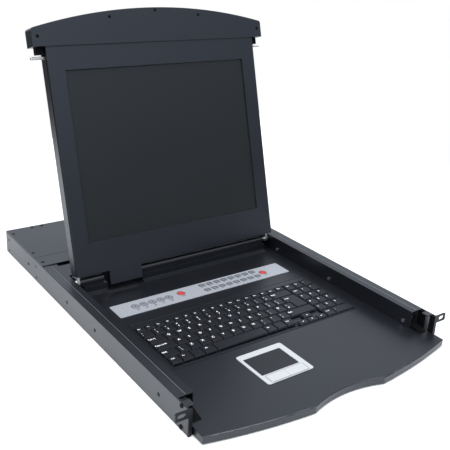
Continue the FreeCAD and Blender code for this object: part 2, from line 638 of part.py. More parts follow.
def make_rear_deck():
    """The raised cover behind the hinge, level with the tray's lips."""
    outside = box("rear_deck_block", ("0 - deck_half", "deck_half"), ("rear_deck_front", "rear_deck_back"),
                  ("tray_floor", "rear_deck_top"))
    inside = box("rear_deck_room", ("0 - deck_half - steel", "deck_half + steel"),
                 ("rear_deck_front + rear_deck_skin", "rear_deck_back - rear_deck_skin"),
                 ("tray_floor - steel", "rear_deck_top - rear_deck_skin"))
    node("rear_deck", cut("rear_deck_folded", outside, inside))


def make_hinge_base():
    """The plate behind the keyboard deck, with a ramped block on it under each barrel."""
    pieces = [box("base_plate", ("0 - deck_half", "deck_half"), ("deck_rear + part_gap", "rear_deck_front"),
                  ("tray_floor", "deck_top"))]
    for side, low, high in (("left", "0 - base_half", "tongue_left - well_gap"),
                            ("right", "barrel_right_inner", "base_half")):
        pieces.append(box(f"base_rise_{side}", (low, high), ("base_front", "base_front + base_depth"),
                          ("tray_floor", "barrel_base")))
        ramp = doc.addObject("Part::Wedge", f"base_ramp_{side}")
        ends = {"Xmin": 0, "Ymin": 0, "Zmin": 0, "X2min": 0, "Z2min": 0, "Xmax": f"({high}) - ({low})",
                "X2max": f"({high}) - ({low})", "Ymax": "base_front - deck_rear - part_gap",
                "Zmax": "deck_top - tray_floor + part_gap", "Z2max": "deck_top - tray_floor + base_ramp"}
        for end, text in ends.items():
            bind(ramp, end, text)
        pieces.append(place(ramp, low, "deck_rear + part_gap", "tray_floor"))
    well = box("base_well", ("tongue_left - well_gap", "tongue_right + well_gap"),
               ("hinge_line - lcd_setback + 4", "hinge_line + tongue_reach + well_gap"),
               ("hinge_height - tongue_sweep - 0.8", "hinge_height"))
    arm_wells = [box(f"arm_well_{side}", span(sign, "arm_foot_inner - 1", "deck_half + steel"),
                     ("base_front - 2", "rear_deck_front + steel"),
                     ("deck_top", "hinge_height")) for side, sign in SIDES]
    node("hinge_base", cut("base_cut", join("base_block", *pieces), well, *arm_wells))
    ends = (("left", "barrel_left_outer", "barrel_left_inner", -1),
            ("right", "barrel_right_inner", "barrel_right_outer", 1))
    for side, low, high, sign in ends:
        tube = rod(f"barrel_tube_{side}", X, (low, "hinge_line", "hinge_height"), "barrel_radius",
                   f"({high}) - ({low})")
        foot = box(f"barrel_foot_{side}", (low, high),
                   ("hinge_line - barrel_foot / 2", "hinge_line + barrel_foot / 2"),
                   ("barrel_base", "hinge_height"))
        bore_start = f"({low}) - 1" if sign < 0 else "hinge_pin_end - 1"
        bore_end = "0 - hinge_pin_end + 1" if sign < 0 else f"({high}) + 1"
        bore = rod(f"barrel_bore_{side}", X, (bore_start, "hinge_line", "hinge_height"),
                   "hinge_pin_radius + hinge_pin_clearance", f"({bore_end}) - ({bore_start})")
        node(f"hinge_barrel_{side}", cut(f"barrel_bored_{side}", join(f"barrel_{side}", tube, foot), bore))


# Keyboard -----------------------------------------------------------------------------------

EVEN_ROW = (1,) * 12
FUNCTION_KEYS = 17


def key(name, x, y, half_gap="key_gap / 2"):
    """One key: a tapered cap with rounded edges on a round stem."""
    low, high = "cap_base", "key_top"
    x = (f"({x[0]}) + {half_gap}", f"({x[1]}) - {half_gap}")
    y = (f"({y[0]}) + {half_gap}", f"({y[1]}) - {half_gap}")
    cap = taper(name + "_taper", x, y, (low, high), "key_taper")
    cap = rounded(name + "_cap", cap, "key_round", lambda middle, way: middle.z > size_of("cap_base") + 0.1)
    return join(name, cap, stem(name, x, y))


def stem(name, x, y):
    centre = [f"(({pair[0]}) + ({pair[1]})) / 2" for pair in (x, y)]
    stem_places.append(centre)
    return rod(name + "_stem", Z, (*centre, "cap_base - stem_length"), "stem_radius", "stem_length + 0.5")


def row_of_keys(name, y, widths, start="keys_left", pitch="key_pitch"):
    """Keys of the given widths, in key units, side by side from the start."""
    keys, position = [], 0
    for number, width in enumerate(widths):
        x = (f"{start} + {position:.3f} * {pitch}", f"{start} + {position + width:.3f} * {pitch}")
        keys.append(key(f"{name}{number}", x, y))
        position += width
    return keys


def line(row):
    """The front and back of a row of keys, counted from the row with the space bar."""
    return f"keys_front + {row} * key_row", f"keys_front + {row + 1} * key_row"


def make_keys():
    block_width = 15.2
    top = ("keys_front + 5 * key_row", "keys_back")
    node("keys_function", group("function_keys", row_of_keys(
        "function_key", top, (block_width / FUNCTION_KEYS,) * FUNCTION_KEYS)))
    node("keys_number", group("number_keys", row_of_keys("number_key", line(4), (1.08, *EVEN_ROW, 2.12))))

    upper = row_of_keys("upper_key", line(3), (1.57, *EVEN_ROW))
    wide = (f"keys_left + 13.57 * key_pitch + key_gap / 2", "keys_right - key_gap / 2")
    narrow = (f"keys_left + 13.89 * key_pitch + key_gap / 2", "keys_right - key_gap / 2")
    back = "keys_front + 4 * key_row - key_gap / 2"
    caps = [taper("enter_upper", wide, ("keys_front + 3 * key_row + key_gap / 2", back),
                  ("cap_base", "key_top"), "key_taper"),
            taper("enter_tall", narrow, ("keys_front + 2 * key_row + key_gap / 2", back),
                  ("cap_base", "key_top"), "key_taper")]
    upper.append(join("enter_key", *caps, stem("enter_key", narrow, ("keys_front + 2.5 * key_row", back))))
    node("keys_upper", group("upper_keys", upper))

    node("keys_home", group("home_keys", row_of_keys("home_key", line(2), (1.89, *EVEN_ROW))))
    node("keys_lower", group("lower_keys", row_of_keys(
        "lower_key", line(1), (1.41, 1, *EVEN_ROW[:10], 2.79))))

    bottom = row_of_keys("bottom_key", line(0), (1, 1, 1, 1.1))
    bottom += row_of_keys("bottom_right_key", line(0), (1, 1, 1), "keys_left + 9.1 * key_pitch")
    arrow_start = "keys_left + 12.15 * key_pitch"
    arrow_front = "keypad_front"
    bottom += row_of_keys("arrow_key", (arrow_front, f"{arrow_front} + arrow_row"),
                          (1.015, 1.015, 1.015), arrow_start)
    bottom += row_of_keys("arrow_up_key", (f"{arrow_front} + arrow_row", "keys_front + key_row"),
                          (1.015,), f"{arrow_start} + 1.015 * key_pitch")
    node("keys_bottom", group("bottom_keys", bottom))
    node("space_bar", group("space_keys", row_of_keys(
        "space_key", line(0), (5,), "keys_left + 4.1 * key_pitch")))

    pads = []
    for row in range(6):
        widths = (1, 2) if row == 0 else (1, 1, 1)
        y = (f"keypad_front + {row} * key_row", f"keypad_front + {row + 1} * key_row")
        pads += row_of_keys(f"keypad_row{row}_", y, widths, "keypad_left", "keypad_pitch")
    node("keypad", group("keypad_keys", pads))


def make_keyboard_frame():
    """The tray under the keys, with a guide hole for each stem, and the contact sheet below."""
    outside = box("frame_block", ("frame_left + part_gap", "frame_right - part_gap"),
                  ("frame_front + part_gap", "frame_back - part_gap"), ("frame_base", "frame_rim"))
    inside = box("frame_room", ("frame_left + frame_rim_width", "frame_right - frame_rim_width"),
                 ("frame_front + frame_rim_width", "keys_back + 1"),
                 ("frame_base + frame_floor", "frame_rim + steel"))
    guides = [rod(f"stem_guide{number}", Z, (*centre, "frame_base - steel"),
                  "stem_radius + stem_clearance", "frame_floor + steel * 2")
              for number, centre in enumerate(stem_places)]
    node("keyboard_frame", cut("frame_bored", cut("frame_hollow", outside, inside), *guides))
    node("keyboard_membrane", box("membrane", ("frame_left + 4", "frame_right - 4"),
                                  ("frame_front + 4", "frame_back - 4"),
                                  ("tray_floor", "tray_floor + flat_cable")))


# Control strip and touchpad -----------------------------------------------------------------

def button(name, x, y, radius="button_radius"):
    """A round button with a flange that keeps it under the strip."""
    base = "deck_top - strip_plug - part_gap - button_flange"
    cap = rod(name + "_cap", Z, (x, y, base), radius, f"button_top - ({base})")
    cap = rounded(name + "_round", cap, "key_round",
                  lambda middle, way: middle.z > size_of("button_top") - 0.01)
    flange = rod(name + "_flange", Z, (x, y, base), f"{radius} + button_foot", "button_flange")
    button_places.append(rod(name + "_hole", Z, (x, y, "tray_floor"),
                             f"{radius} + button_clearance", "deck_top"))
    return join(name, cap, flange)


def port_button(name, x, y):
    """A small oblong button with the same kind of flange."""
    base = "deck_top - strip_plug - part_gap - button_flange"
    half = ("port_width / 2", "port_depth / 2")
    cap = box(name + "_cap", (f"{x} - {half[0]}", f"{x} + {half[0]}"),
              (f"{y} - {half[1]}", f"{y} + {half[1]}"), (base, "button_top - key_round"))
    cap = rounded(name + "_round", cap, "key_round * 2", lambda middle, way: abs(way.z) > 1)
    flange = box(name + "_flange", (f"{x} - {half[0]} - 1", f"{x} + {half[0]} + 1"),
                 (f"{y} - {half[1]} - 1", f"{y} + {half[1]} + 1"), (base, f"{base} + button_flange"))
    button_places.append(box(
        name + "_hole", (f"{x} - {half[0]} - button_clearance", f"{x} + {half[0]} + button_clearance"),
        (f"{y} - {half[1]} - button_clearance", f"{y} + {half[1]} + button_clearance"),
        ("tray_floor", "deck_top + steel * 2")))
    return join(name, cap, flange)


def make_control_strip():
    menu = [button(f"menu_button{number}", f"menu_left + {number} * menu_pitch", "menu_line")
            for number in range(5)]
    node("menu_buttons", group("menu_button_set", menu))
    node("power_button", button("power_key", "power_centre", "power_line"))
    node("reset_button", button("reset_key", "reset_centre", "reset_line"))
    ports = [port_button(f"port_key{row}{number}", f"port_left + {number} * port_pitch", y)
             for row, y in enumerate(("port_front_line", "port_back_line")) for number in range(8)]
    node("port_buttons", group("port_button_set", ports))

    cap = box("strip_plate", ("strip_left", "strip_right"), ("strip_front", "strip_back"),
              ("deck_top", "deck_top + strip_cap"))
    cap = rounded("strip_plate_round", cap, "steel * 1.5", lambda middle, way: abs(way.z) > 0.5)
    plug = box("strip_body", ("strip_left + strip_lip + part_gap", "strip_right - strip_lip - part_gap"),
               ("strip_front + strip_lip + part_gap", "strip_back - strip_lip - part_gap"),
               ("deck_top - strip_plug", "deck_top + strip_cap / 2"))
    node("control_strip", cut("strip_pierced", join("strip_whole", cap, plug), *button_places))

    board = box("control_sheet", ("strip_left + 6", "strip_right - 6"),
                ("strip_front + 5", "strip_back - 5"), ("tray_floor + 0.5", "tray_floor + 0.5 + board_thickness"))
    feet = [rod(f"control_foot{number}", Z, (x, "(strip_front + strip_back) / 2", "tray_floor"),
                "post_radius", "1") for number, x in enumerate(("strip_left + 12", "strip_right - 12"))]
    node("control_board", join("control_board_on_feet", board, *feet))


def make_touchpad():
    """A rounded frame in the deck with the pad and two click buttons."""
    cap = box("pad_plate", ("pad_left", "pad_right"), ("pad_front", "pad_back"),
              ("deck_top", "deck_top + pad_cap"))
    cap = rounded("pad_plate_round", cap, "pad_corner", lambda middle, way: abs(way.z) > 0.5)
    plug = box("pad_body", ("pad_left + 2 + part_gap", "pad_right - 2 - part_gap"),
               ("pad_front + 1 + part_gap", "pad_back - 2 - part_gap"),
               ("tray_floor + 1", "deck_top + pad_cap / 2"))
    room = box("pad_room", ("pad_left + 3.5", "pad_right - 3.5"), ("pad_front + 2.5", "pad_back - 3.5"),
               ("tray_floor", "deck_top - deck_skin"))
    window = box("pad_window", ("window_left", "window_right"), ("window_front", "window_back"),
                 ("deck_top - steel", "deck_top + steel * 2"))
    clicks = box("pad_clicks", ("pad_button_left - pad_button_gap", "pad_button_right + pad_button_gap"),
                 ("pad_button_front - pad_button_gap", "pad_button_back + pad_button_gap"),
                 ("tray_floor", "deck_top + steel * 2"))
    body = cut("pad_hollow", join("pad_whole", cap, plug), join("pad_rooms", room, clicks))
    node("touchpad_frame", cut("pad_open", body, window))
    node("touchpad_surface", box("pad_sheet", ("window_left + part_gap", "window_right - part_gap"),
                                 ("window_front + part_gap", "window_back - part_gap"),
                                 ("deck_top - steel", "deck_top + pad_cap - part_gap")))
    halves = (("left", "pad_button_left", "pad_button_split - pad_button_gap / 2"),
              ("right", "pad_button_split + pad_button_gap / 2", "pad_button_right"))
    for side, low, high in halves:
        cap = box(f"click_{side}", (low, high), ("pad_button_front", "pad_button_back"),
                  ("tray_floor + 2", "deck_top + pad_cap + pad_travel - part_gap"))
        cap = rounded(f"click_round_{side}", cap, "key_round",
                      lambda middle, way: middle.z > size_of("deck_top"))
        node(f"touchpad_button_{side}", cap)


# Screen, about its hinge axis ---------------------------------------------------------------

def make_screen():
    lcd_x = ("0 - lcd_half", "lcd_half")
    outside = box("cover_block", lcd_x, ("bezel_back", "lcd_back"), ("lcd_bottom", "seam"))
    outside = rounded("cover_round", outside, "lcd_skin",
                      lambda middle, way: (middle.y > size_of("lcd_back") - 0.01
                                           and middle.z < size_of("seam") - 1))
    inside = box("cover_room", ("0 - lcd_half + lcd_skin", "lcd_half - lcd_skin"),
                 ("bezel_back - steel", "lcd_back - lcd_skin"),
                 ("lcd_bottom + lcd_skin", "seam - lcd_skin"))
    notches = [box(f"latch_notch_{side}",
                   span(sign, "lcd_half - latch_inner - latch_travel - latch_gap", "lcd_half + steel"),
                   ("latch_front - latch_gap", "latch_back + latch_gap"),
                   ("latch_pin_at - latch_pin_radius - latch_gap", "seam + steel")) for side, sign in SIDES]
    lcd_node("lcd_back_cover", cut("cover_notched", cut("cover_shell", outside, inside), *notches))

    front = box("bezel_sheet", lcd_x, ("0 - lcd_setback", "bezel_back"), ("lcd_bottom", "seam"))
    window = box("bezel_window", ("0 - screen_width / 2", "screen_width / 2"),
                 ("0 - lcd_setback - steel", "bezel_back + steel"), ("screen_low", "screen_high"))
    tongue = box("bezel_tongue", ("tongue_left", "tongue_right"),
                 ("0 - lcd_setback", "tongue_thickness - lcd_setback"), ("0 - tongue_reach", "lcd_bottom"))
    lcd_node("lcd_bezel", join("bezel", cut("bezel_frame", front, window), tongue))

    rim = "panel_rim"
    panel = box("panel_block", (f"0 - screen_width / 2 - {rim}", f"screen_width / 2 + {rim}"),
                ("bezel_back", "bezel_back + panel_thickness"),
                (f"screen_low - {rim}", f"screen_high + {rim}"))
    lcd_node("lcd_panel", panel)
    panel_back = "bezel_back + panel_thickness"
    lcd_node("lcd_driver_board", box("driver_sheet", ("0 - 90", "90"),
                                     (panel_back, f"{panel_back} + board_thickness"),
                                     ("screen_low + 40", "screen_low + 150")))


def make_bezel_bar():
    """The bowed bar over the seam, which is the drawer's front when the screen is folded."""
    block = box("bar_block", ("0 - plate_half", "plate_half"), ("bar_front", "bar_back"),
                ("seam", "bar_top"))
    arc = rod("bar_arc", Y, ("0", "bar_front", "bar_top - bow_radius"), "bow_radius", "bar_thickness")
    bar = overlap("bar_bowed", block, arc)
    bar = rounded("bar_round", bar, "bar_corner",
                  lambda middle, way: abs(way.y) > 1 and middle.z > size_of("seam") + 5)
    pocket = box("bar_pocket", ("0 - lcd_half + bar_wall * 2", "lcd_half - bar_wall * 2"),
                 ("bar_front + bar_wall", "bar_back - bar_wall"),
                 ("seam - steel", "seam + bar_pocket_depth"))
    places = bar_screw_places()
    drills = []
    for number, (x, z) in enumerate(places):
        start = (x, "bar_front - steel", z)
        sink = rod(f"bar_sink{number}", Y, start, "bar_screw_radius + screw_fit", "screw_head + steel")
        shank = rod(f"bar_shank_hole{number}", Y, start, "screw_shank_radius + screw_fit", "bar_wall * 3")
        drills.append(join(f"bar_drill{number}", sink, shank))
    lcd_node("bezel_bar", cut("bar_drilled", cut("bar_hollow", bar, pocket), *drills))
    screws = [screw(f"bar_screw{number}", Y, (x, "bar_front", z), "bar_screw_radius", "bar_wall")
              for number, (x, z) in enumerate(places)]
    lcd_node("lcd_screws", group("bar_screws", screws))


def bar_screw_places():
    """One screw in the middle, two beside it and two at the ends, in the middle of the bar."""
    ends = [(out(sign, "plate_half - bar_screw_inset"), "seam + 15") for side, sign in SIDES]
    return ends + [("0", "seam + 50"), ("0 - 84", "seam + 41"), ("84", "seam + 41")]


def make_hinge_arms():
    """Nickel arms under the screen, each with the pin that turns in its barrel."""
    for side, sign in SIDES:
        foot = box(f"arm_foot_{side}", span(sign, "arm_foot_inner", "lcd_half"),
                   ("0 - lcd_setback / 2", "lcd_back - lcd_skin"),
                   ("lcd_bottom - arm_foot_steel", "lcd_bottom"))
        plate = box(f"arm_plate_{side}", span(sign, "arm_inner", "arm_outer"),
                    ("0 - barrel_radius", "barrel_radius"), ("0", "lcd_bottom - arm_foot_steel / 2"))
        start = out(sign, "arm_outer")
        eye = rod(f"arm_eye_{side}", X * -sign, (start, "0", "0"), "barrel_radius", "arm_steel")
        pin = rod(f"arm_pin_{side}", X * -sign, (start, "0", "0"), "hinge_pin_radius",
                  "hinge_pin_length")
        head = rod(f"arm_pin_head_{side}", X * sign, (start, "0", "0"), "hinge_pin_radius + 0.5",
                   "arm_inset + 0.5")
        lcd_node(f"hinge_arm_{side}", join(f"arm_{side}", foot, plate, eye, pin, head))


def make_latches():
    """The sliding blocks at the screen's upper corners and the pins that lock it down."""
    inner = "lcd_half - latch_inner"
    base = "lcd_half - 2 - part_gap"
    for side, sign in SIDES:
        plate = box(f"latch_plate_{side}", span(sign, inner, base), ("latch_front", "latch_back"),
                    ("latch_pin_at - latch_pin_radius", "seam - lcd_skin - part_gap"))
        block = box(f"latch_solid_{side}", span(sign, f"{base} - 1", "latch_outer"),
                    ("latch_front", "latch_back"), ("latch_low", "latch_top"))
        lcd_node(f"latch_block_{side}", join(f"latch_slider_{side}", plate, block))
        lcd_node(f"latch_pin_{side}", rounded(f"latch_pin_round_{side}", rod(
            f"latch_rod_{side}", X * sign, (out(sign, base), "latch_pin_depth", "latch_pin_at"),
            "latch_pin_radius", f"latch_pin_tip - ({base})"), "key_round",
            lambda middle, way, sign=sign: middle.x * sign > size_of("latch_pin_tip") - 0.01))


def make_drawer_catches():
    """Ribbed thumb slides beside the deck: pushed in, they let the drawer run out."""
    for side, sign in SIDES:
        low, high = "deck_top + catch_low", "deck_top + catch_high"
        block = box(f"catch_body_{side}", span(sign, "catch_inner", "catch_outer"),
                    ("catch_front", "catch_back"), ("deck_top", high))
        slope = doc.addObject("Part::Wedge", f"catch_slope_{side}")
        ends = {"Xmin": 0, "Ymin": 0, "Zmin": 0, "X2min": 0, "Xmax": "catch_outer - catch_inner + 2",
                "X2max": "catch_outer - catch_inner + 2", "Ymax": "catch_back - catch_front",
                "Zmax": "catch_high + 1", "Z2min": "catch_high - catch_low - 0.01",
                "Z2max": "catch_high + 1"}
        for end, text in ends.items():
            bind(slope, end, text)
        place(slope, f"({span(sign, 'catch_inner', 'catch_outer')[0]}) - 1", "catch_front", low)
        ribs = [box(f"catch_rib_{side}{number}",
                    span(sign, f"catch_inner + 1.2 + {number} * 2.2", f"catch_inner + 2.4 + {number} * 2.2"),
                    ("catch_front - 1", "catch_back + 1"), ("deck_top + catch_rib", high))
                for number in range(5)]
        sunk = []
        for number, rib in enumerate(ribs):
            shape = doc.addObject("Part::Wedge", f"catch_groove_{side}{number}")
            for end, text in ends.items():
                bind(shape, end, text)
            place(shape, f"({span(sign, 'catch_inner', 'catch_outer')[0]}) - 1", "catch_front",
                  f"{low} - catch_rib")
            sunk.append(overlap(f"catch_sunk_{side}{number}", shape, rib))
        peg = box(f"catch_peg_{side}",
                  span(sign, "catch_inner + 1 + catch_travel + part_gap", "catch_outer - 4"),
                  ("catch_front + 5", "catch_back - 5"), ("deck_top - deck_skin - 1", "deck_top + 0.4"))
        body = cut(f"catch_shape_{side}", block, slope)
        body = cut(f"catch_ribbed_{side}", body, *sunk)
        node(f"drawer_catch_{side}", join(f"catch_{side}", body, peg))


def write_parts():
    """Checks every object, then writes one STEP file for each sub-part."""
    doc.recompute()
    for piece in doc.Objects:
        if "Invalid" in piece.State or "Error" in piece.State:
            raise RuntimeError(f"{piece.Name} failed: {piece.State}")
    for piece in nodes:
        if piece.Shape.isNull() or not piece.Shape.isValid() or not piece.Shape.Solids:
            raise RuntimeError(f"{piece.Label} has no valid solid")
    os.makedirs("parts", exist_ok=True)
    for piece in nodes:
        piece.Shape.exportStep(f"parts/{piece.Label}.step")
        print(f"{piece.Label}: {len(piece.Shape.Solids)} solids, {piece.Shape.Volume / 1000:.1f} cm3")


stem_places = []
button_places = []
make_chassis_tray()
make_covers()
make_rear_panel()
make_rear_compartment()
make_rack_ears()
make_chassis_screws()
make_slides()
make_ball_cages()
make_drawer_tray()
make_front_deck()
make_rear_deck()
make_hinge_base()
make_keys()
make_keyboard_frame()
make_control_strip()
make_touchpad()
make_drawer_catches()
make_screen()
make_bezel_bar()
make_hinge_arms()
make_latches()
write_parts()
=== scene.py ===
import bpy, bmesh
import json, math
from mathutils import Matrix, Vector


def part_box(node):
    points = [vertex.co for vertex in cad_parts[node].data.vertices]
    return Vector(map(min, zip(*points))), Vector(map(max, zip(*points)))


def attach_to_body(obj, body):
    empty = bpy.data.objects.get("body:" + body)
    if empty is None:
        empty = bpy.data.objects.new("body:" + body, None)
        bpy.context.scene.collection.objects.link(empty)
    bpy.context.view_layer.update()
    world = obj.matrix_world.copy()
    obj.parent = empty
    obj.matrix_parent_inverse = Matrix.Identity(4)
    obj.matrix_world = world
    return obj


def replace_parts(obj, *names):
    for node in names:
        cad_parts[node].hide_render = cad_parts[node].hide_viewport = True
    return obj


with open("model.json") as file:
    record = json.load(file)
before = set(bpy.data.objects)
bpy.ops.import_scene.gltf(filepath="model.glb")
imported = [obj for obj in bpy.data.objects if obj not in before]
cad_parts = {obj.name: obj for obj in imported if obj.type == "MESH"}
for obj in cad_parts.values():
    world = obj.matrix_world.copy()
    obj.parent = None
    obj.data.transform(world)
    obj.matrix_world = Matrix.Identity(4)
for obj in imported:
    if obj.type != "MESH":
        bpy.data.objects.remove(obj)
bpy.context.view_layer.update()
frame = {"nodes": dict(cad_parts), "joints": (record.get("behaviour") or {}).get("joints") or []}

MM = 0.001
SIDES = (-1, 1)  # left, right


# Camera, floor and light -----------------------------------------------------------------------

VIEW_TARGET = Vector((0.0259, 0.3324, 0.12876))
VIEW_DISTANCE = 1.18733
VIEW_TURN, VIEW_HEIGHT, VIEW_ROLL = (math.radians(a) for a in (-35.28, 20.88, 2.71))
SENSOR_WIDTH, LENS_LENGTH = 36, 57.017
VIEW_SHIFT = (0.0402, -0.0302)


def make_camera():
    """The viewing angle: turned to the left of the front, a little above, with a slight roll."""
    back = Vector((math.sin(VIEW_TURN) * math.cos(VIEW_HEIGHT),
                   -math.cos(VIEW_TURN) * math.cos(VIEW_HEIGHT), math.sin(VIEW_HEIGHT)))
    level = Vector((math.cos(VIEW_TURN), math.sin(VIEW_TURN), 0))
    rise = back.cross(level)
    right = level * math.cos(VIEW_ROLL) + rise * math.sin(VIEW_ROLL)
    up = rise * math.cos(VIEW_ROLL) - level * math.sin(VIEW_ROLL)
    data = bpy.data.cameras.new("camera")
    data.sensor_width, data.lens = SENSOR_WIDTH, LENS_LENGTH
    data.shift_x, data.shift_y = VIEW_SHIFT
    data.clip_start, data.clip_end = 0.01, 60
    camera = bpy.data.objects.new("camera", data)
    axes = Matrix((right, up, back)).transposed()
    camera.matrix_world = Matrix.Translation(VIEW_TARGET + back * VIEW_DISTANCE) @ axes.to_4x4()
    bpy.context.scene.collection.objects.link(camera)
    bpy.context.scene.camera = camera


FLOOR_HALF, FLOOR_MIDDLE = 1.0, (0, 0.3, 0)


def make_floor():
    """A plain pale sheet that the drawer stands on; past its edge there is only the white studio."""
    shape = bmesh.new()
    bmesh.ops.create_grid(shape, x_segments=8, y_segments=8, size=FLOOR_HALF,
                          matrix=Matrix.Translation(FLOOR_MIDDLE))
    floor = new_piece("floor", shape, plain_floor())


def plain_floor():
    """An almost white, dull surface with a faint drift of tone."""
    material, tree, surface = new_material("floor_white")
    noise = add(tree, "ShaderNodeTexNoise", Scale=6, Detail=2)
    mix_colours(tree, noise, (0.86, 0.865, 0.87), (0.9, 0.9, 0.9), surface.inputs["Base Color"])
    surface.inputs["Roughness"].default_value = 0.9
    surface.inputs["Specular IOR Level"].default_value = 0.1
    return material


# Brightness at heights from the horizon (0) to overhead (1)
FRONT_LIGHT = ((0.0, (0.04, 0.04, 0.055)), (0.14, (0.20, 0.22, 0.275)), (0.33, (0.84, 0.95, 1.14)),
               (0.9, (0.85, 0.9, 0.98)))
BACK_LIGHT = ((0.0, (0.72, 0.76, 0.83)), (0.35, (0.74, 0.78, 0.86)), (0.9, (0.85, 0.9, 0.98)))
RIGHT_SHADE, BELOW_FLOOR = 0.55, 0.1  # shares of the light that are left there
WHITE = (1.0, 1.0, 1.0, 1)


def height_ramp(tree, height, stops):
    """A colour that changes smoothly with height, from pairs of a height and its colour."""
    ramp = tree.nodes.new("ShaderNodeValToRGB")
    ramp.color_ramp.interpolation = "EASE"
    while len(ramp.color_ramp.elements) < len(stops):
        ramp.color_ramp.elements.new(0.5)
    for element, (place, colour) in zip(ramp.color_ramp.elements, stops):
        element.position = place
        element.color = (*colour, 1)
    tree.links.new(height, ramp.inputs[0])
    return ramp.outputs[0]


def make_world():
    """A studio: bright behind and overhead, dim low down in front and dimmer on the front's right,
    dark below the horizon, and plain white where the camera looks straight at it."""
    world = bpy.data.worlds.new("studio")
    world.use_nodes = True
    tree = world.node_tree
    tree.nodes.clear()
    place = tree.nodes.new("ShaderNodeTexCoord")
    parts = tree.nodes.new("ShaderNodeSeparateXYZ")
    tree.links.new(place.outputs["Generated"], parts.inputs[0])
    depth = add(tree, "ShaderNodeMapRange", From_Min=-0.35, From_Max=0.35)
    depth.interpolation_type = "SMOOTHSTEP"
    tree.links.new(parts.outputs["Y"], depth.inputs["Value"])
    front = height_ramp(tree, parts.outputs["Z"], FRONT_LIGHT)
    behind = height_ramp(tree, parts.outputs["Z"], BACK_LIGHT)
    side = add(tree, "ShaderNodeMapRange", From_Min=0.35, From_Max=0.75, To_Min=1.0,
               To_Max=RIGHT_SHADE)
    tree.links.new(parts.outputs["X"], side.inputs["Value"])
    shade = tree.nodes.new("ShaderNodeVectorMath")
    shade.operation = "SCALE"
    tree.links.new(front, shade.inputs[0])
    tree.links.new(side.outputs[0], shade.inputs["Scale"])
    mix = tree.nodes.new("ShaderNodeMix")
    mix.data_type = "RGBA"
    tree.links.new(depth.outputs[0], mix.inputs["Factor"])
    tree.links.new(shade.outputs[0], mix.inputs["A"])
    tree.links.new(behind, mix.inputs["B"])
    glow = tree.nodes.new("ShaderNodeBackground")
    tree.links.new(mix.outputs["Result"], glow.inputs["Color"])
    below = add(tree, "ShaderNodeMapRange", From_Min=-0.06, From_Max=0.02, To_Min=BELOW_FLOOR,
                To_Max=1.0)
    tree.links.new(parts.outputs["Z"], below.inputs["Value"])
    tree.links.new(below.outputs[0], glow.inputs["Strength"])
    seen = tree.nodes.new("ShaderNodeBackground")
    seen.inputs["Color"].default_value = WHITE
    path = tree.nodes.new("ShaderNodeLightPath")
    choice = tree.nodes.new("ShaderNodeMixShader")
    tree.links.new(path.outputs["Is Camera Ray"], choice.inputs[0])
    tree.links.new(glow.outputs[0], choice.inputs[1])
    tree.links.new(seen.outputs[0], choice.inputs[2])
    out = tree.nodes.new("ShaderNodeOutputWorld")
    tree.links.new(choice.outputs[0], out.inputs[0])
    bpy.context.scene.world = world


LAMP_POWER, LAMP_SPREAD, LAMP_COLOUR = 3.3, math.radians(70), (1.0, 0.99, 0.975)
LAMP_TURN = (math.radians(14), math.radians(-16), 0)


def make_lamp():
    """One wide soft light overhead, coming a little from the front and the left."""
    sun = bpy.data.lights.new("overhead", "SUN")
    sun.energy, sun.angle = LAMP_POWER, LAMP_SPREAD
    sun.color = LAMP_COLOUR
    lamp = bpy.data.objects.new("overhead", sun)
    lamp.rotation_euler = LAMP_TURN
    bpy.context.scene.collection.objects.link(lamp)


# Node materials --------------------------------------------------------------------------------

def new_material(name):
    """A material with one Principled surface: the material, its node tree and the surface."""
    material = bpy.data.materials.new(name)
    material.use_nodes = True
    tree = material.node_tree
    tree.nodes.clear()
    surface = tree.nodes.new("ShaderNodeBsdfPrincipled")
    out = tree.nodes.new("ShaderNodeOutputMaterial")
    tree.links.new(surface.outputs[0], out.inputs[0])
    return material, tree, surface


def add(tree, kind, **values):
    """A node with values on its inputs; an underscore in an input's name stands for a space."""
    made = tree.nodes.new(kind)
    for socket, value in values.items():
        made.inputs[socket.replace("_", " ")].default_value = value
    return made


def stretched(tree, scale):
    """Object coordinates, in metres, squeezed along each axis."""
    place = tree.nodes.new("ShaderNodeTexCoord")
    mapping = tree.nodes.new("ShaderNodeMapping")
    mapping.inputs["Scale"].default_value = scale
    tree.links.new(place.outputs["Object"], mapping.inputs["Vector"])
    return mapping.outputs[0]


def mix_colours(tree, factor, low, high, target):
    """Sends a colour between low and high to a socket, by the factor node's output."""
    mix = tree.nodes.new("ShaderNodeMix")
    mix.data_type = "RGBA"
    mix.inputs["A"].default_value = (*low, 1)
    mix.inputs["B"].default_value = (*high, 1)
    tree.links.new(factor.outputs[0], mix.inputs["Factor"])
    tree.links.new(mix.outputs["Result"], target)
    return mix


def spread(tree, source, low, high, target):
    """Turns a noise of 0.3 to 0.7 into values from low to high."""
    ramp = add(tree, "ShaderNodeMapRange", From_Min=0.3, From_Max=0.7, To_Min=low, To_Max=high)
    tree.links.new(source.outputs[0], ramp.inputs["Value"])
    tree.links.new(ramp.outputs[0], target)


GLOSS_LOW, GLOSS_HIGH = 0.93, 1.07  # how far roughness drifts, as shares of the finish's own
COAT_ROUGHNESS = 0.12


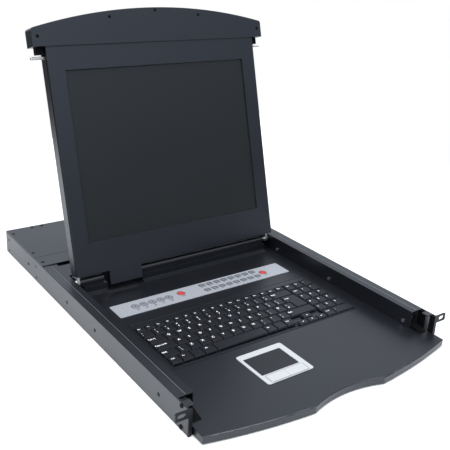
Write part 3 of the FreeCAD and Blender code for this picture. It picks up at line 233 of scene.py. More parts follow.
def make_finish(name, colour, roughness, grain, metallic=0.0, specular=0.5, drift=0.15, depth=0.02,
                stretch=(1, 1, 1), rounding=0.35, edge_highlight=0.0, coat=0.0, tint=(1, 1, 1)):
    """A real finish: colour and gloss that drift over the surface, a fine grain, and edges that are
    slightly rounded and, where an edge share is given, painted lighter as a painted highlight.
    Grain is per metre, depth and rounding are in millimetres."""
    material, tree, surface = new_material(name)
    coordinates = stretched(tree, stretch)
    broad = add(tree, "ShaderNodeTexNoise", Scale=9, Detail=3, Roughness=0.55)
    fine = add(tree, "ShaderNodeTexNoise", Scale=grain, Detail=3, Roughness=0.6)
    for noise in (broad, fine):
        tree.links.new(coordinates, noise.inputs["Vector"])
    dark = tuple(c * (1 - drift) for c in colour)
    light = tuple(min(1, c * (1 + drift)) for c in colour)
    base = mix_colours(tree, fine, dark, light, surface.inputs["Base Color"])
    spread(tree, broad, roughness * GLOSS_LOW, min(1, roughness * GLOSS_HIGH),
           surface.inputs["Roughness"])
    surface.inputs["Metallic"].default_value = metallic
    surface.inputs["Specular IOR Level"].default_value = specular
    surface.inputs["Specular Tint"].default_value = (*tint, 1)
    if coat:
        surface.inputs["Coat Weight"].default_value = coat
        surface.inputs["Coat Roughness"].default_value = COAT_ROUGHNESS
    bump = add(tree, "ShaderNodeBump", Strength=0.6, Distance=depth * MM)
    tree.links.new(fine.outputs[0], bump.inputs["Height"])
    tree.links.new(bump.outputs[0], surface.inputs["Normal"])
    if rounding:
        edge = tree.nodes.new("ShaderNodeBevel")
        edge.samples = 4
        edge.inputs["Radius"].default_value = rounding * MM
        tree.links.new(edge.outputs[0], bump.inputs["Normal"])
    # Painted highlight: the edges are painted lighter where light would catch them.
    if edge_highlight:
        rub_edges(tree, edge, base, surface, [min(1, c + edge_highlight) for c in colour])
    return material


def rub_edges(tree, edge, base, surface, colour):
    """Where the rounded normal leaves the flat one, the colour is painted lighter: a painted edge
    highlight.
    """
    flat = tree.nodes.new("ShaderNodeBump")
    flat.inputs["Strength"].default_value = 0
    dot = tree.nodes.new("ShaderNodeVectorMath")
    dot.operation = "DOT_PRODUCT"
    tree.links.new(edge.outputs[0], dot.inputs[0])
    tree.links.new(flat.outputs[0], dot.inputs[1])
    # Painted highlight mask: strongest where the edge turns most.
    highlight_mask = add(tree, "ShaderNodeMapRange", From_Min=0.98, From_Max=0.8, To_Min=0, To_Max=0.7)
    tree.links.new(dot.outputs["Value"], highlight_mask.inputs["Value"])
    highlighted = tree.nodes.new("ShaderNodeMix")
    highlighted.data_type = "RGBA"
    tree.links.new(highlight_mask.outputs[0], highlighted.inputs["Factor"])
    tree.links.new(base.outputs["Result"], highlighted.inputs["A"])
    highlighted.inputs["B"].default_value = (*colour, 1)
    tree.links.new(highlighted.outputs["Result"], surface.inputs["Base Color"])


BLUISH = (0.87, 0.925, 1.0)  # the tint of dark paint's reflections

# The edge share in these finishes is a painted highlight along the edges.
FINISHES = {
    "case_paint": dict(colour=(0.0045, 0.005, 0.0068), tint=(0.87, 0.93, 1.0), roughness=0.38,
                       specular=1.0, grain=1500, edge_highlight=0.03),
    "deck_paint": dict(colour=(0.0038, 0.0043, 0.0062), tint=BLUISH, roughness=0.34, specular=0.75,
                       grain=1700, depth=0.015, rounding=0.5, edge_highlight=0.03),
    "shell_paint": dict(colour=(0.004, 0.0045, 0.006), tint=BLUISH, roughness=0.34, specular=0.85,
                        grain=2200, depth=0.008, rounding=0.5, edge_highlight=0.03),
    "dark_zinc": dict(colour=(0.22, 0.22, 0.24), roughness=0.38, metallic=0.9, grain=900,
                      depth=0.008, stretch=(1, 0.05, 1), rounding=0.25),
    "bright_zinc": dict(colour=(0.45, 0.45, 0.46), roughness=0.3, metallic=1.0, grain=900,
                        depth=0.006, stretch=(1, 0.06, 1), rounding=0.25),
    "barrel_metal": dict(colour=(0.012, 0.012, 0.014), roughness=0.26, specular=0.9, grain=1200,
                         depth=0.004, stretch=(0.08, 1, 1), rounding=0.3),
    "black_oxide": dict(colour=(0.003, 0.003, 0.004), roughness=0.6, specular=0.12, grain=2500,
                        depth=0.008, rounding=0.3),
    "bright_nickel": dict(colour=(0.86, 0.85, 0.82), roughness=0.33, metallic=1.0, grain=2600,
                          depth=0.003, rounding=0.4),
    # Painted shade: the case paint made darker and duller for the ears, which lie in shade; their
    # edges get a stronger painted highlight.
    "ear_paint_shaded": dict(colour=(0.0042, 0.0046, 0.006), tint=BLUISH, roughness=0.42, specular=0.3,
                      grain=1700, depth=0.015, rounding=0.4, edge_highlight=0.08),
    "moulded_black": dict(colour=(0.0035, 0.0035, 0.0045), roughness=0.55, specular=0.08,
                          grain=2800, depth=0.012, rounding=0.4),
    "key_black": dict(colour=(0.0055, 0.0058, 0.0078), tint=BLUISH, roughness=0.42, specular=0.45,
                      grain=4200, depth=0.012, edge_highlight=0.02),
    "silver_paint": dict(colour=(0.345, 0.362, 0.395), roughness=0.36, metallic=0.15, grain=5200,
                         depth=0.004, drift=0.05, rounding=0.3),
    "pad_silver": dict(colour=(0.50, 0.505, 0.52), roughness=0.36, metallic=0.1, grain=5200,
                       depth=0.004, drift=0.05, rounding=0.3),
    "dark_plastic": dict(colour=(0.15, 0.165, 0.195), roughness=0.42, grain=3500, depth=0.008,
                         drift=0.06, rounding=0.3),
    "grey_plastic": dict(colour=(0.19, 0.205, 0.235), roughness=0.42, grain=3500, depth=0.008,
                         drift=0.06, rounding=0.3),
    "red_plastic": dict(colour=(0.50, 0.045, 0.05), roughness=0.3, grain=2500, depth=0.004,
                        drift=0.08, rounding=0.4, coat=0.3),
    "pad_black": dict(colour=(0.010, 0.011, 0.0145), roughness=0.5, specular=0.45, grain=3600,
                      depth=0.014, rounding=0.2),
    "display_glass": dict(colour=(0.012, 0.014, 0.0145), roughness=0.3, specular=0.42, grain=3800,
                          depth=0.004, rounding=0),
    "board_green": dict(colour=(0.02, 0.12, 0.05), roughness=0.4, grain=700, drift=0.35,
                        rounding=0.2),
    "print_white": dict(colour=(0.90, 0.91, 0.92), roughness=0.5, grain=6000, depth=0.003,
                        drift=0.03, rounding=0),
    "print_dark": dict(colour=(0.035, 0.04, 0.05), roughness=0.5, grain=6000, depth=0.003,
                       drift=0.08, rounding=0),
    "window_edge": dict(colour=(0.008, 0.009, 0.011), roughness=0.3, specular=0.6, grain=3000,
                        depth=0.003, rounding=0),
    "folded_edge": dict(colour=(0.42, 0.42, 0.44), roughness=0.36, metallic=1.0, grain=2600,
                        depth=0.003, rounding=0.2),
    # Painted shade: black for the shadowed seam under the covers and the insides of vent slots and
    # pin holes; also the bezel's dark side edges.
    "seam_and_shade_black": dict(colour=(0.003, 0.003, 0.004), roughness=0.7, specular=0.1, grain=3000,
                       depth=0.01, rounding=0),
    "lamp_green": dict(colour=(0.06, 0.20, 0.10), roughness=0.2, specular=0.6, grain=2000,
                       depth=0.002, drift=0.05, rounding=0.2, coat=0.5),
    "socket_blue": dict(colour=(0.02, 0.045, 0.16), roughness=0.42, grain=3000, depth=0.01,
                        rounding=0.2),
}

NODE_FINISH = {
    "case_paint": "chassis_tray rear_panel top_cover cover_front_strip",
    "deck_paint": "drawer_tray front_deck hinge_base rear_deck keyboard_frame",
    "ear_paint_shaded": "rack_ear_left rack_ear_right",
    "shell_paint": "lcd_back_cover lcd_bezel bezel_bar",
    "dark_zinc": "slide_outer_left slide_outer_right slide_inner_left slide_inner_right",
    "bright_zinc": "slide_middle_left slide_middle_right ball_cages_outer ball_cages_inner "
                   "power_supply drawer_screws",
    "barrel_metal": "hinge_barrel_left hinge_barrel_right",
    "black_oxide": "chassis_screws lcd_screws",
    "bright_nickel": "hinge_arm_left hinge_arm_right latch_pin_left latch_pin_right port_connectors",
    "moulded_black": "latch_block_left latch_block_right drawer_catch_left drawer_catch_right "
                     "power_inlet",
    "key_black": "keys_function keys_number keys_upper keys_home keys_lower keys_bottom space_bar "
                 "keypad",
    "silver_paint": "control_strip",
    "pad_silver": "touchpad_frame touchpad_button_left touchpad_button_right",
    "grey_plastic": "menu_buttons keyboard_membrane",
    "dark_plastic": "port_buttons",
    "red_plastic": "power_button reset_button",
    "pad_black": "touchpad_surface",
    "display_glass": "lcd_panel",
    "board_green": "switch_board control_board lcd_driver_board",
}


def dress_nodes():
    """Gives every CAD node its finish."""
    for finish, names in NODE_FINISH.items():
        for name in names.split():
            node = frame["nodes"][name]
            node.data.materials.clear()
            node.data.materials.append(finishes[finish])


# Pieces ----------------------------------------------------------------------------------------

def new_piece(name, shape, material):
    """An object from a bmesh, in the frame of the whole."""
    mesh = bpy.data.meshes.new(name)
    bmesh.ops.recalc_face_normals(shape, faces=shape.faces)
    shape.to_mesh(mesh)
    shape.free()
    mesh.materials.append(material)
    piece = bpy.data.objects.new(name, mesh)
    bpy.context.scene.collection.objects.link(piece)
    return piece


def attach(name, shape, finish, body):
    """A piece in one of the finishes, riding a body and filling a material slot."""
    piece = new_piece(name, shape, finishes[finish])
    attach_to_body(piece, body)
    return piece


CAPITAL_SHARE, LETTER_THICKNESS = 0.7, 0.03  # of the font's size; in millimetres


def write(shape, text, height, x, y, z, anchor="LEFT", weight=0.03):
    """Adds flat lettering of a given capital height that lies face up at a point."""
    curve = bpy.data.curves.new("lettering", "FONT")
    curve.body, curve.align_x, curve.align_y = text, anchor, "CENTER"
    curve.size, curve.resolution_u = height / CAPITAL_SHARE, 2
    curve.extrude, curve.offset = LETTER_THICKNESS * MM, weight * height
    holder = bpy.data.objects.new("lettering", curve)
    mesh = bpy.data.meshes.new_from_object(holder)
    mesh.transform(Matrix.Translation((x, y, z)))
    shape.from_mesh(mesh)
    bpy.data.objects.remove(holder)
    bpy.data.curves.remove(curve)
    bpy.data.meshes.remove(mesh)


def outline_points(kind, x, y, width, depth, corner=0.0, steps=6):
    """Points round an ellipse or a rounded rectangle, anticlockwise."""
    if kind == "round":
        return [(x + width / 2 * math.cos(a), y + depth / 2 * math.sin(a))
                for a in (i * math.tau / 36 for i in range(36))]
    points = []
    for quarter, (across, along) in enumerate(((1, 1), (-1, 1), (-1, -1), (1, -1))):
        middle = (x + across * (width / 2 - corner), y + along * (depth / 2 - corner))
        for step in range(steps + 1):
            angle = (quarter + step / steps) * math.pi / 2
            points.append((middle[0] + corner * math.cos(angle),
                           middle[1] + corner * math.sin(angle)))
    return points


def skin(shape, loops):
    """Joins each closed loop of points to the next one with four-sided faces."""
    for one, other in zip(loops, loops[1:]):
        for i in range(len(one)):
            j = (i + 1) % len(one)
            shape.faces.new((one[i], one[j], other[j], other[i]))


def ring(shape, inside, outside, low, high):
    """A closed band between two outlines with the same number of points."""
    loops = [[shape.verts.new((*point, z)) for point in points]
             for points, z in ((inside, low), (outside, low), (outside, high), (inside, high))]
    skin(shape, loops + loops[:1])


def prism(shape, points, low, high):
    """A solid between two heights over a flat outline."""
    rows = [[shape.verts.new((*point, z)) for point in points] for z in (low, high)]
    shape.faces.new(rows[0][::-1])
    shape.faces.new(rows[1])
    skin(shape, rows)


def disc(shape, x, y, radius, low, high, sides=24, crown=0.0):
    """A low lamp, screw head or dark disc of painted shade for a pin hole; its top is domed by the
    height of its crown.
    """
    levels = [(1.0, low), (1.0, high - crown), (0.8, high - crown * 0.35),
              (0.45, high - crown * 0.06)]
    loops = [[shape.verts.new((x + radius * share * math.cos(i * math.tau / sides),
                               y + radius * share * math.sin(i * math.tau / sides), z))
              for i in range(sides)] for share, z in levels]
    shape.faces.new(loops[0][::-1])
    skin(shape, loops)
    top = shape.verts.new((x, y, high))
    for i in range(sides):
        shape.faces.new((loops[-1][i], loops[-1][(i + 1) % sides], top))


def bar(shape, x, y, width, depth, low, high):
    """A slim printed bar or plate with its corners cut."""
    corner = min(width, depth) * 0.25
    prism(shape, outline_points("square", x, y, width, depth, corner, 2), low, high)


def arrow_points(x, y, size, turn, swept):
    """Corners of a triangle that points along an angle in degrees; its tails are swept back."""
    angles = [math.radians(turn + a) for a in (0, swept, 360 - swept)]
    return [(x + size * math.cos(a) * MM, y + size * math.sin(a) * MM) for a in angles]


def turned(shape, start, place):
    """Moves the vertices made since start from flat to where they belong."""
    shape.verts.ensure_lookup_table()
    bmesh.ops.transform(shape, matrix=place, verts=shape.verts[start:])


def screw_head(shape, place, radius, height):
    """A domed screw head or riveted end, drawn face up at the origin, then put in place."""
    start = len(shape.verts)
    disc(shape, 0, 0, radius, -height * 0.2, height, 24, height * 0.5)
    turned(shape, start, place)


# Keyboard legends ------------------------------------------------------------------------------

KEY_UNITS = 15.2  # single keys to the width of the number row
HALF_KEY_GAP = 0.55 * MM
LEGEND_LIFT = 0.01 * MM
WIDE_KEY, WIDE_KEY_MARK = 1.05, 6.4 * MM  # keys wider than this are marked so far from their left
MARK_LEFT, MARK_UP, ROW_MIDDLE = 4.8 * MM, 2.4 * MM, 9.1 * MM
WORD, LETTER, SHIFTED_SIGN, PLAIN_SIGN = 3.1 * MM, 4.1 * MM, 2.9 * MM, 3.2 * MM  # capital heights
SMALL_WORD, ENTER_WORD, PAD_SIGN, PAD_WORD = 2.5 * MM, 2.6 * MM, 3.6 * MM, 2.4 * MM
ROWS = {
    "keys_function": ("keys_function_set", (KEY_UNITS / 17,) * 17,
                      "Esc F1 F2 F3 F4 F5 F6 F7 F8 F9 F10 F11 F12 Prt Scr Ins Del".split()),
    "keys_number": ("keys_number_set", (1.08,) + (1,) * 12 + (2.12,),
                    ["`"] + list("1234567890-=") + ["Back"]),
    "keys_upper": ("keys_upper_set", (1.57,) + (1,) * 12, ["Tab >|"] + list("QWERTYUIOP[]")),
    "keys_home": ("keys_home_set", (1.89,) + (1,) * 12, ["Caps Lock"] + list("ASDFGHJKL;'#")),
    "keys_lower": ("keys_lower_set", (1.41, 1) + (1,) * 10 + (2.79,),
                   ["Shift", "\\"] + list("ZXCVBNM,./") + ["Shift"]),
}
SECOND_MARKS = {"`": "~", "1": "!", "2": '"', "3": "#", "4": "$", "5": "%", "6": "^", "7": "&",
                "8": "*", "9": "(", "0": ")", "-": "_", "=": "+", "[": "{", "]": "}", ";": ":",
                "'": "@", "#": "~", ",": "<", ".": ">", "/": "?", "\\": "|"}
BOTTOM_KEYS = ((0.5, "Ctrl"), (1.5, "Fn"), (3.55, "Alt"), (9.6, "Alt"), (11.6, "Ctrl"))
ARROWS = ((0.5, 0, 180), (1.5, 0, 270), (2.5, 0, 0), (1.5, 1, 90))  # across, row, direction
ARROWS_START, ARROW_PITCH, ARROW_SIZE = 12.15, 1.015, 1.7  # in key units; in millimetres
PAD_MARKS = (("0 Ins", ".", ""), ("1", "2", "3"), ("4", "5", "6"), ("7", "8", "9"), ("Num", "/", "*"),
             ("Hm", "Up", "-"))
PAD_PITCH_X, PAD_PITCH_Y = 18.17 * MM, 19.3 * MM


def legend(shape, text, x, y, z):
    """One key's marks, towards its upper left: two on a key that has a shifted sign."""
    left = x - MARK_LEFT
    if len(text) > 1:
        write(shape, text, WORD, left, y + MARK_UP, z)
    elif text in SECOND_MARKS:
        write(shape, SECOND_MARKS[text], SHIFTED_SIGN, left, y + 3.6 * MM, z)
        write(shape, text, PLAIN_SIGN, left, y - 2.8 * MM, z)
    else:
        write(shape, text, LETTER, left, y + MARK_UP, z)


def make_legends():
    """The keys' marks, row by row from the left."""
    low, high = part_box("keys_number")
    left = low.x - HALF_KEY_GAP
    unit = (high.x + HALF_KEY_GAP - left) / KEY_UNITS
    top = high.z + LEGEND_LIFT
    for node, (body, widths, marks) in ROWS.items():
        low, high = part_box(node)
        middle = high.y - ROW_MIDDLE if node != "keys_function" else (low.y + high.y) / 2 - 1 * MM
        shape, along = bmesh.new(), left
        for width, mark in zip(widths, marks):
            if node == "keys_function":
                write(shape, mark, SMALL_WORD, along + 3.0 * MM, middle + 1.2 * MM, top)
            else:
                centre = WIDE_KEY_MARK if width > WIDE_KEY else width * unit / 2
                legend(shape, mark, along + centre, middle, top)
            along += width * unit
        if node == "keys_upper":
            write(shape, "Enter", ENTER_WORD, along + 5.0 * MM, middle + 1.5 * MM, top)
        attach(f"legends_{node[5:]}", shape, "print_white", body)
    make_bottom_legends(left, unit, top)
    make_pad_legends(top)


def make_bottom_legends(left, unit, top):
    """Words on the bottom row and a small triangle on each arrow key."""
    low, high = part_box("keys_bottom")
    shape = bmesh.new()
    for place, mark in BOTTOM_KEYS:
        write(shape, mark, SMALL_WORD, left + place * unit - 5 * MM, high.y - 6.5 * MM, top)
    arrow_left, arrow_unit = left + ARROWS_START * unit, ARROW_PITCH * unit
    for across, row, turn in ARROWS:
        x, y = arrow_left + across * arrow_unit, low.y + (6.3 + 12.6 * row) * MM
        corners = arrow_points(x, y, ARROW_SIZE, turn, 130)
        shape.faces.new([shape.verts.new((*point, top)) for point in corners])
    attach("legends_bottom", shape, "print_white", "keys_bottom_set")


def make_pad_legends(top):
    """The marks on the number pad, from its front left key; an empty one stands for no mark."""
    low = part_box("keypad")[0]
    shape = bmesh.new()
    for row, marks in enumerate(PAD_MARKS):
        for column, mark in enumerate(marks):
            if mark:
                write(shape, mark, PAD_SIGN if len(mark) == 1 else PAD_WORD,
                      low.x + column * PAD_PITCH_X + 4 * MM,
                      low.y + row * PAD_PITCH_Y + 12 * MM, top)
    attach("legends_keypad", shape, "print_white", "keypad_set")


# Control strip and touchpad --------------------------------------------------------------------

MENU_X = [(-132 + 15.3 * i) * MM for i in range(5)]
MENU_Y = 290 * MM
PORT_X = [(-1 + 14.9 * i) * MM for i in range(8)]
PORT_LINES = (282 * MM, 299 * MM)
PORT_KEYS = [(x, y) for y in PORT_LINES for x in PORT_X]
PORT_LAMPS = (1.0 * MM, 3.6 * MM)
POWER, RESET = (-46.5 * MM, 292 * MM), (120 * MM, 288 * MM)
PRINT_LOW, PRINT_HIGH = 0.005 * MM, 0.06 * MM
MENU_RING, POWER_RING = (12.4 * MM, 13.6 * MM), (12.6 * MM, 14.2 * MM)  # inner and outer widths
PORT_INSIDE, PORT_OUTSIDE = (9.4 * MM, 6.0 * MM, 1.6 * MM), (11.8 * MM, 8.4 * MM, 2.6 * MM)
LAMP_RADIUS, LAMP_FOOT, LAMP_TOP, LAMP_CROWN = 0.75 * MM, 0.2 * MM, 0.3 * MM, 0.25 * MM
SIGN_SIZE, SIGN_HEIGHT = 2.1, 0.05 * MM


def circle(shape, x, y, widths, low, high):
    """A printed circle between an inner and an outer width."""
    inside, outside = (outline_points("round", x, y, width, width) for width in widths)
    ring(shape, inside, outside, low, high)


def make_strip_marks():
    """Outlines round the buttons, short marks and numbers below them, and small lamps."""
    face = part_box("control_strip")[1].z
    low, high = face + PRINT_LOW, face + PRINT_HIGH
    shape = bmesh.new()
    for x in MENU_X:
        circle(shape, x, MENU_Y, MENU_RING, low, high)
        bar(shape, x, MENU_Y - 10.2 * MM, 6.0 * MM, 1.1 * MM, low, high)
        bar(shape, x - 0.8 * MM, MENU_Y - 12.6 * MM, 4.0 * MM, 0.8 * MM, low, high)
    for x, y in (POWER, RESET):
        circle(shape, x, y, POWER_RING, low, high)
        bar(shape, x, y - 10 * MM, 7 * MM, 1.1 * MM, low, high)
    for number, (x, y) in enumerate(PORT_KEYS, 1):
        ring(shape, outline_points("square", x, y, *PORT_INSIDE),
             outline_points("square", x, y, *PORT_OUTSIDE), low, high)
        write(shape, str(number), 2.9 * MM, x - 3.2 * MM, y - 6.4 * MM, low, "CENTER", 0.06)
    attach("strip_marks", shape, "print_dark", "drawer")
    shape = bmesh.new()
    for x, y in PORT_KEYS:
        for along in PORT_LAMPS:
            disc(shape, x + along, y - 6.3 * MM, LAMP_RADIUS, face - LAMP_FOOT, face + LAMP_TOP, 16,
                 LAMP_CROWN)
    disc(shape, POWER[0] - 11.5 * MM, POWER[1] + 11 * MM, 1.1 * MM, face - LAMP_FOOT,
         face + 0.4 * MM, 20, 0.35 * MM)
    attach("strip_lamps", shape, "lamp_green", "drawer")
    make_button_marks()


def make_button_marks():
    """A generic sign on each round grey key: up, down, left, right and a square."""
    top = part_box("menu_buttons")[1].z
    shape = bmesh.new()
    for x, turn in zip(MENU_X, (90, 270, 180, 0, None)):
        if turn is None:
            bar(shape, x, MENU_Y, 3.0 * MM, 3.0 * MM, top, top + SIGN_HEIGHT)
        else:
            prism(shape, arrow_points(x, MENU_Y, SIGN_SIZE, turn, 125), top, top + SIGN_HEIGHT)
    attach("menu_button_marks", shape, "print_dark", "menu_keys")


PAD_LINE, CLICK_LINE, LINE_GAP = 0.5, 1.1, 0.3


def make_touchpad_lines():
    """A thin dark line round the pad's opening and one round the two click keys."""
    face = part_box("touchpad_frame")[1].z
    pad_low, pad_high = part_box("touchpad_surface")
    keys_low, keys_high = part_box("touchpad_button_left")[0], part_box("touchpad_button_right")[1]
    shape = bmesh.new()
    for low, high, line in ((pad_low, pad_high, PAD_LINE), (keys_low, keys_high, CLICK_LINE)):
        x, y = (low.x + high.x) / 2, (low.y + high.y) / 2
        width, depth = high.x - low.x, high.y - low.y
        inner, outer = LINE_GAP * MM, (LINE_GAP + line) * MM
        ring(shape, outline_points("square", x, y, width + inner, depth + inner, 2 * MM),
             outline_points("square", x, y, width + outer, depth + outer, 2.4 * MM),
             face + 0.005 * MM, face + 0.05 * MM)
    attach("touchpad_lines", shape, "print_dark", "drawer")


# Rear, screws and back of the screen -----------------------------------------------------------

# Depths in the screen's own upright frame, in millimetres from its hinge
SCREEN_TILT = math.radians(15.8)
SCREEN_FRONT, BEZEL_BACK, SHELL_BACK = -16.0, -13.2, 8.4
WINDOW = (169.0, 61.2, 332.1)  # half width, bottom and top
BEZEL_SIDE = (195.7, 196.12, 11, 368)  # inner and outer face, bottom and top


def on_screen():
    """From the screen's own upright frame, about its hinge, to where it stands."""
    hinge = next(joint for joint in frame["joints"] if joint["name"] == "screen_hinge")
    return Matrix.Translation(hinge["pos_m"]) @ Matrix.Rotation(-SCREEN_TILT, 4, "X")


def facing_rear(x, y, z):
    """Puts flat work upright so that its face looks to the rear."""
    return Matrix.Translation((x, y, z)) @ Matrix.Rotation(math.radians(-90), 4, "X")


PORTS, PORT_WIDTH, PORT_PITCH, PORT_FLANGE = 8, 17.0, 34.0, 6.0
SHELL_DEPTH, FLANGE_FACE, INSERT_FACE = 6.8, 6.6, 2.6
PIN_ROWS, PIN_COLUMNS = range(-1, 2), range(-2, 3)  # counted from the middle
PIN_PITCH, PIN_ROW_PITCH, PIN_ROW_SHIFT, PIN_RADIUS = 2.3, 1.9, 0.5, 0.5


def make_ports():
    """Eight hollow metal shells with a blue insert each, three rows of dark discs in it, painted
    shade for its pin holes.
    """
    low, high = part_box("port_connectors")
    first = low.x + (PORT_FLANGE + PORT_WIDTH / 2) * MM
    height, depth = (high.z - low.z) / MM, (high.y - low.y) / MM
    shells, inserts, hole_shades = bmesh.new(), bmesh.new(), bmesh.new()
    for port in range(PORTS):
        place = facing_rear(first + port * PORT_PITCH * MM, high.y, (low.z + high.z) / 2)
        starts = [len(shape.verts) for shape in (shells, inserts, hole_shades)]
        inside = outline_points("square", 0, 0, (PORT_WIDTH - 1.4) * MM, (height - 1.4) * MM,
                                1.6 * MM)
        outside = outline_points("square", 0, 0, PORT_WIDTH * MM, height * MM, 2.3 * MM)
        ring(shells, inside, outside, -SHELL_DEPTH * MM, 0)
        bar(shells, 0, 0, (PORT_WIDTH + PORT_FLANGE * 2) * MM, height * MM, -depth * MM,
            -FLANGE_FACE * MM)
        bar(inserts, 0, 0, (PORT_WIDTH - 2) * MM, (height - 2) * MM, -6.7 * MM, -INSERT_FACE * MM)
        for row in PIN_ROWS:
            for column in PIN_COLUMNS:
                # Painted shade: a dark disc on the insert's face stands for each shadowed pin hole.
                disc(hole_shades, (column * PIN_PITCH + row * PIN_ROW_SHIFT) * MM, row * PIN_ROW_PITCH * MM,
                     PIN_RADIUS * MM, -3.2 * MM, -2.55 * MM, 10)
        for shape, start in zip((shells, inserts, hole_shades), starts):
            turned(shape, start, place)
    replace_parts(attach("port_shells", shells, "bright_nickel", "chassis"), "port_connectors")
    attach("port_inserts", inserts, "socket_blue", "chassis")
    attach("port_pin_hole_shades", hole_shades, "seam_and_shade_black", "chassis")


VENT_ROWS, VENTS_IN_ROW, VENT_PITCH = (318, 326, 334), 15, 14.0
VENT_LENGTH, VENT_WIDTH, BACK_SCREW_RADIUS = 9, 2.2, 2.6
SHELL_BACK_SCREWS = ((-180, 20), (180, 20), (-180, 190), (180, 190), (-180, 352), (180, 352), (0, 20))


def make_back_details():
    """Rows of dark vent slots, thin plates of painted shade standing for their openings, and flat
    screws on the back of the screen, in its upright frame.
    """
    vent_shades, screws = bmesh.new(), bmesh.new()
    back = SHELL_BACK * MM
    # Painted shade: each slot is a thin dark plate on the shell standing for its shadowed opening.
    for z in VENT_ROWS:
        for column in range(VENTS_IN_ROW):
            x = (column - (VENTS_IN_ROW - 1) / 2) * VENT_PITCH
            start = len(vent_shades.verts)
            bar(vent_shades, 0, 0, VENT_LENGTH * MM, VENT_WIDTH * MM, -0.3 * MM, 0.06 * MM)
            turned(vent_shades, start, facing_rear(x * MM, back, z * MM))
    for x, z in SHELL_BACK_SCREWS:
        start = len(screws.verts)
        disc(screws, 0, 0, BACK_SCREW_RADIUS * MM, -0.2 * MM, 0.35 * MM, 24, 0.2 * MM)
        turned(screws, start, facing_rear(x * MM, back, z * MM))
    for shape in (vent_shades, screws):
        shape.transform(on_screen())
    attach("screen_back_vent_shades", vent_shades, "seam_and_shade_black", "screen")
    attach("screen_back_screws", screws, "black_oxide", "screen")


def block(shape, low, high, corner):
    """A block between two corners, in millimetres, with all its edges rounded."""
    size = Vector(high) - Vector(low)
    middle = (Vector(high) + Vector(low)) / 2
    made = bmesh.ops.create_cube(shape, size=1, matrix=Matrix.Translation(middle * MM)
                                 @ Matrix.Diagonal((*(size * MM), 1)))
    edges = list({edge for vert in made["verts"] for edge in vert.link_edges})
    bmesh.ops.bevel(shape, geom=edges, offset=corner * MM, segments=3, affect="EDGES", profile=0.5)


def rod(shape, start, end, radius, sides=12):
    """A round bead between two points along Y, in millimetres."""
    loops = [[shape.verts.new(((start[0] + share * radius * math.cos(a)) * MM, y * MM,
                               (start[2] + share * radius * math.sin(a)) * MM))
              for a in (i * math.tau / sides for i in range(sides))]
             for share, y in ((0.6, start[1]), (1, start[1] + 0.4), (1, end[1] - 0.4), (0.6, end[1]))]
    shape.faces.new(loops[0][::-1])
    shape.faces.new(loops[-1])
    skin(shape, loops)


def ridge(shape, low_x, high_x, y, z, half, height, sides=6):
    """A low half-round ridge along X, in millimetres."""
    ends = [[shape.verts.new((x * MM, (y - half * math.cos(a)) * MM, (z + height * math.sin(a)) * MM))
             for a in (i * math.pi / sides for i in range(sides + 1))] for x in (low_x, high_x)]
    shape.faces.new(ends[0])
    shape.faces.new(ends[1][::-1])
    for i in range(sides + 1):
        j = (i + 1) % (sides + 1)
        shape.faces.new((ends[0][j], ends[0][i], ends[1][i], ends[1][j]))


def make_keyboard_edge():
    """The rolled rear edge of the moulded frame round the keys."""
    low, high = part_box("keyboard_frame")
    shape = bmesh.new()
    ridge(shape, low.x / MM + 1.5, high.x / MM - 1.5, high.y / MM - 0.8, high.z / MM - 0.05, 0.7,
          0.45)
    attach("keyboard_rear_edge", shape, "key_black", "drawer")


BEAD_RADIUS, BEAD_FRONT = 0.36, 27
SEAM_SHADE_DEPTH, SEAM_SHADE_PROUD, SEAM_SHADE_INSET = 0.4, 0.08, 0.6
STOP_BEHIND_WALL, STOP_ALONG, STOP_HEIGHTS = (4.25, 3.05), (9, 15.5), (6, 36)


def make_steel_edges():
    """Bare folded edges of the tray's lips, a black strip of painted shade along the seam under the
    covers, and the front rail stops.
    """
    edge, back, lip_top = (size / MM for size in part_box("drawer_tray")[1])
    wall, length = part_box("chassis_tray")[1].x / MM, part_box("chassis_tray")[1].y / MM
    beads, seam_shades, stops = bmesh.new(), bmesh.new(), bmesh.new()
    for side in SIDES:
        x = side * (edge + 0.35)
        rod(beads, (x, BEAD_FRONT, lip_top - 0.05), (x, back - 2, lip_top - 0.05), BEAD_RADIUS)
        # Painted shade: a black strip on the wall's top stands for the shadow line of the seam.
        across = sorted((side * (wall - SEAM_SHADE_DEPTH), side * (wall + SEAM_SHADE_PROUD)))
        block(seam_shades, (across[0], SEAM_SHADE_INSET, lip_top - 1.0),
              (across[1], length - SEAM_SHADE_INSET, lip_top - 0.1), 0.06)
        across = sorted(side * (wall - depth) for depth in STOP_BEHIND_WALL)
        block(stops, *zip(across, STOP_ALONG, STOP_HEIGHTS), 0.4)
    attach("tray_lip_edges", beads, "folded_edge", "drawer")
    attach("side_wall_seam_shade", seam_shades, "seam_and_shade_black", "chassis")
    attach("rail_front_stops", stops, "bright_nickel", "chassis")


LIP_SLOPE = 1.1


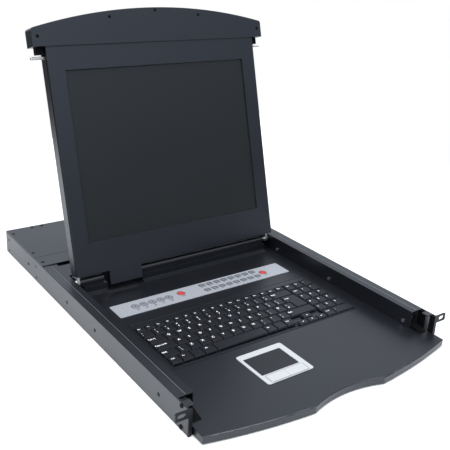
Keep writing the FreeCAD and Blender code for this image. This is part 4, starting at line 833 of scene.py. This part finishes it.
def make_screen_edges():
    """The sloped lip round the display's window and the dark edge of the bezel's sides."""
    shape = bmesh.new()
    half, low, high = WINDOW
    rings = []
    front, back = SCREEN_FRONT - 0.06, BEZEL_BACK - 0.1
    for inset, depth in ((0.0, front), (LIP_SLOPE, back), (0.0, back)):
        corners = ((-half + inset, low + inset), (half - inset, low + inset),
                   (half - inset, high - inset), (-half + inset, high - inset))
        rings.append([shape.verts.new((x * MM, depth * MM, z * MM)) for x, z in corners])
    skin(shape, rings + rings[:1])
    shape.transform(on_screen())
    attach("window_lip", shape, "window_edge", "screen")
    shape = bmesh.new()
    inner, outer, bottom, top = BEZEL_SIDE
    for side in SIDES:
        across = sorted((side * inner, side * outer))
        block(shape, (across[0], SCREEN_FRONT + 0.5, bottom),
              (across[1], BEZEL_BACK + 2.6, top), 0.08)
    shape.transform(on_screen())
    attach("bezel_side_edges", shape, "seam_and_shade_black", "screen")


SLIDE_SCREW_STEPS = (36, 216, 313, 472.7)
COVER_SCREWS = (-156, -175)


def make_extra_screws():
    """Flat riveted ends where the slides' screws come through the walls, and two cover screws."""
    low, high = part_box("slide_outer_left")
    height, front = (low.z + high.z) / 2, low.y
    shape = bmesh.new()
    for side in SIDES:
        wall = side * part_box("chassis_tray")[1].x
        for along in SLIDE_SCREW_STEPS:
            place = Matrix.Translation((wall, front + along * MM, height))
            screw_head(shape, place @ Matrix.Rotation(side * math.pi / 2, 4, "Y"), 2.9 * MM, 0.3 * MM)
    attach("slide_screw_ends", shape, "black_oxide", "chassis")
    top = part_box("top_cover")[1]
    shape = bmesh.new()
    for x in COVER_SCREWS:
        screw_head(shape, Matrix.Translation((x * MM, top.y - 6 * MM, top.z)), 2.6 * MM, 0.9 * MM)
    attach("cover_rear_screws", shape, "black_oxide", "chassis")


# Everything ------------------------------------------------------------------------------------

bpy.context.scene.view_settings.view_transform = "Standard"
finishes = {name: make_finish(name, **words) for name, words in FINISHES.items()}
make_camera()
make_world()
make_lamp()
make_floor()
dress_nodes()
make_legends()
make_strip_marks()
make_touchpad_lines()
make_ports()
make_keyboard_edge()
make_steel_edges()
make_screen_edges()
make_extra_screws()
make_back_details()
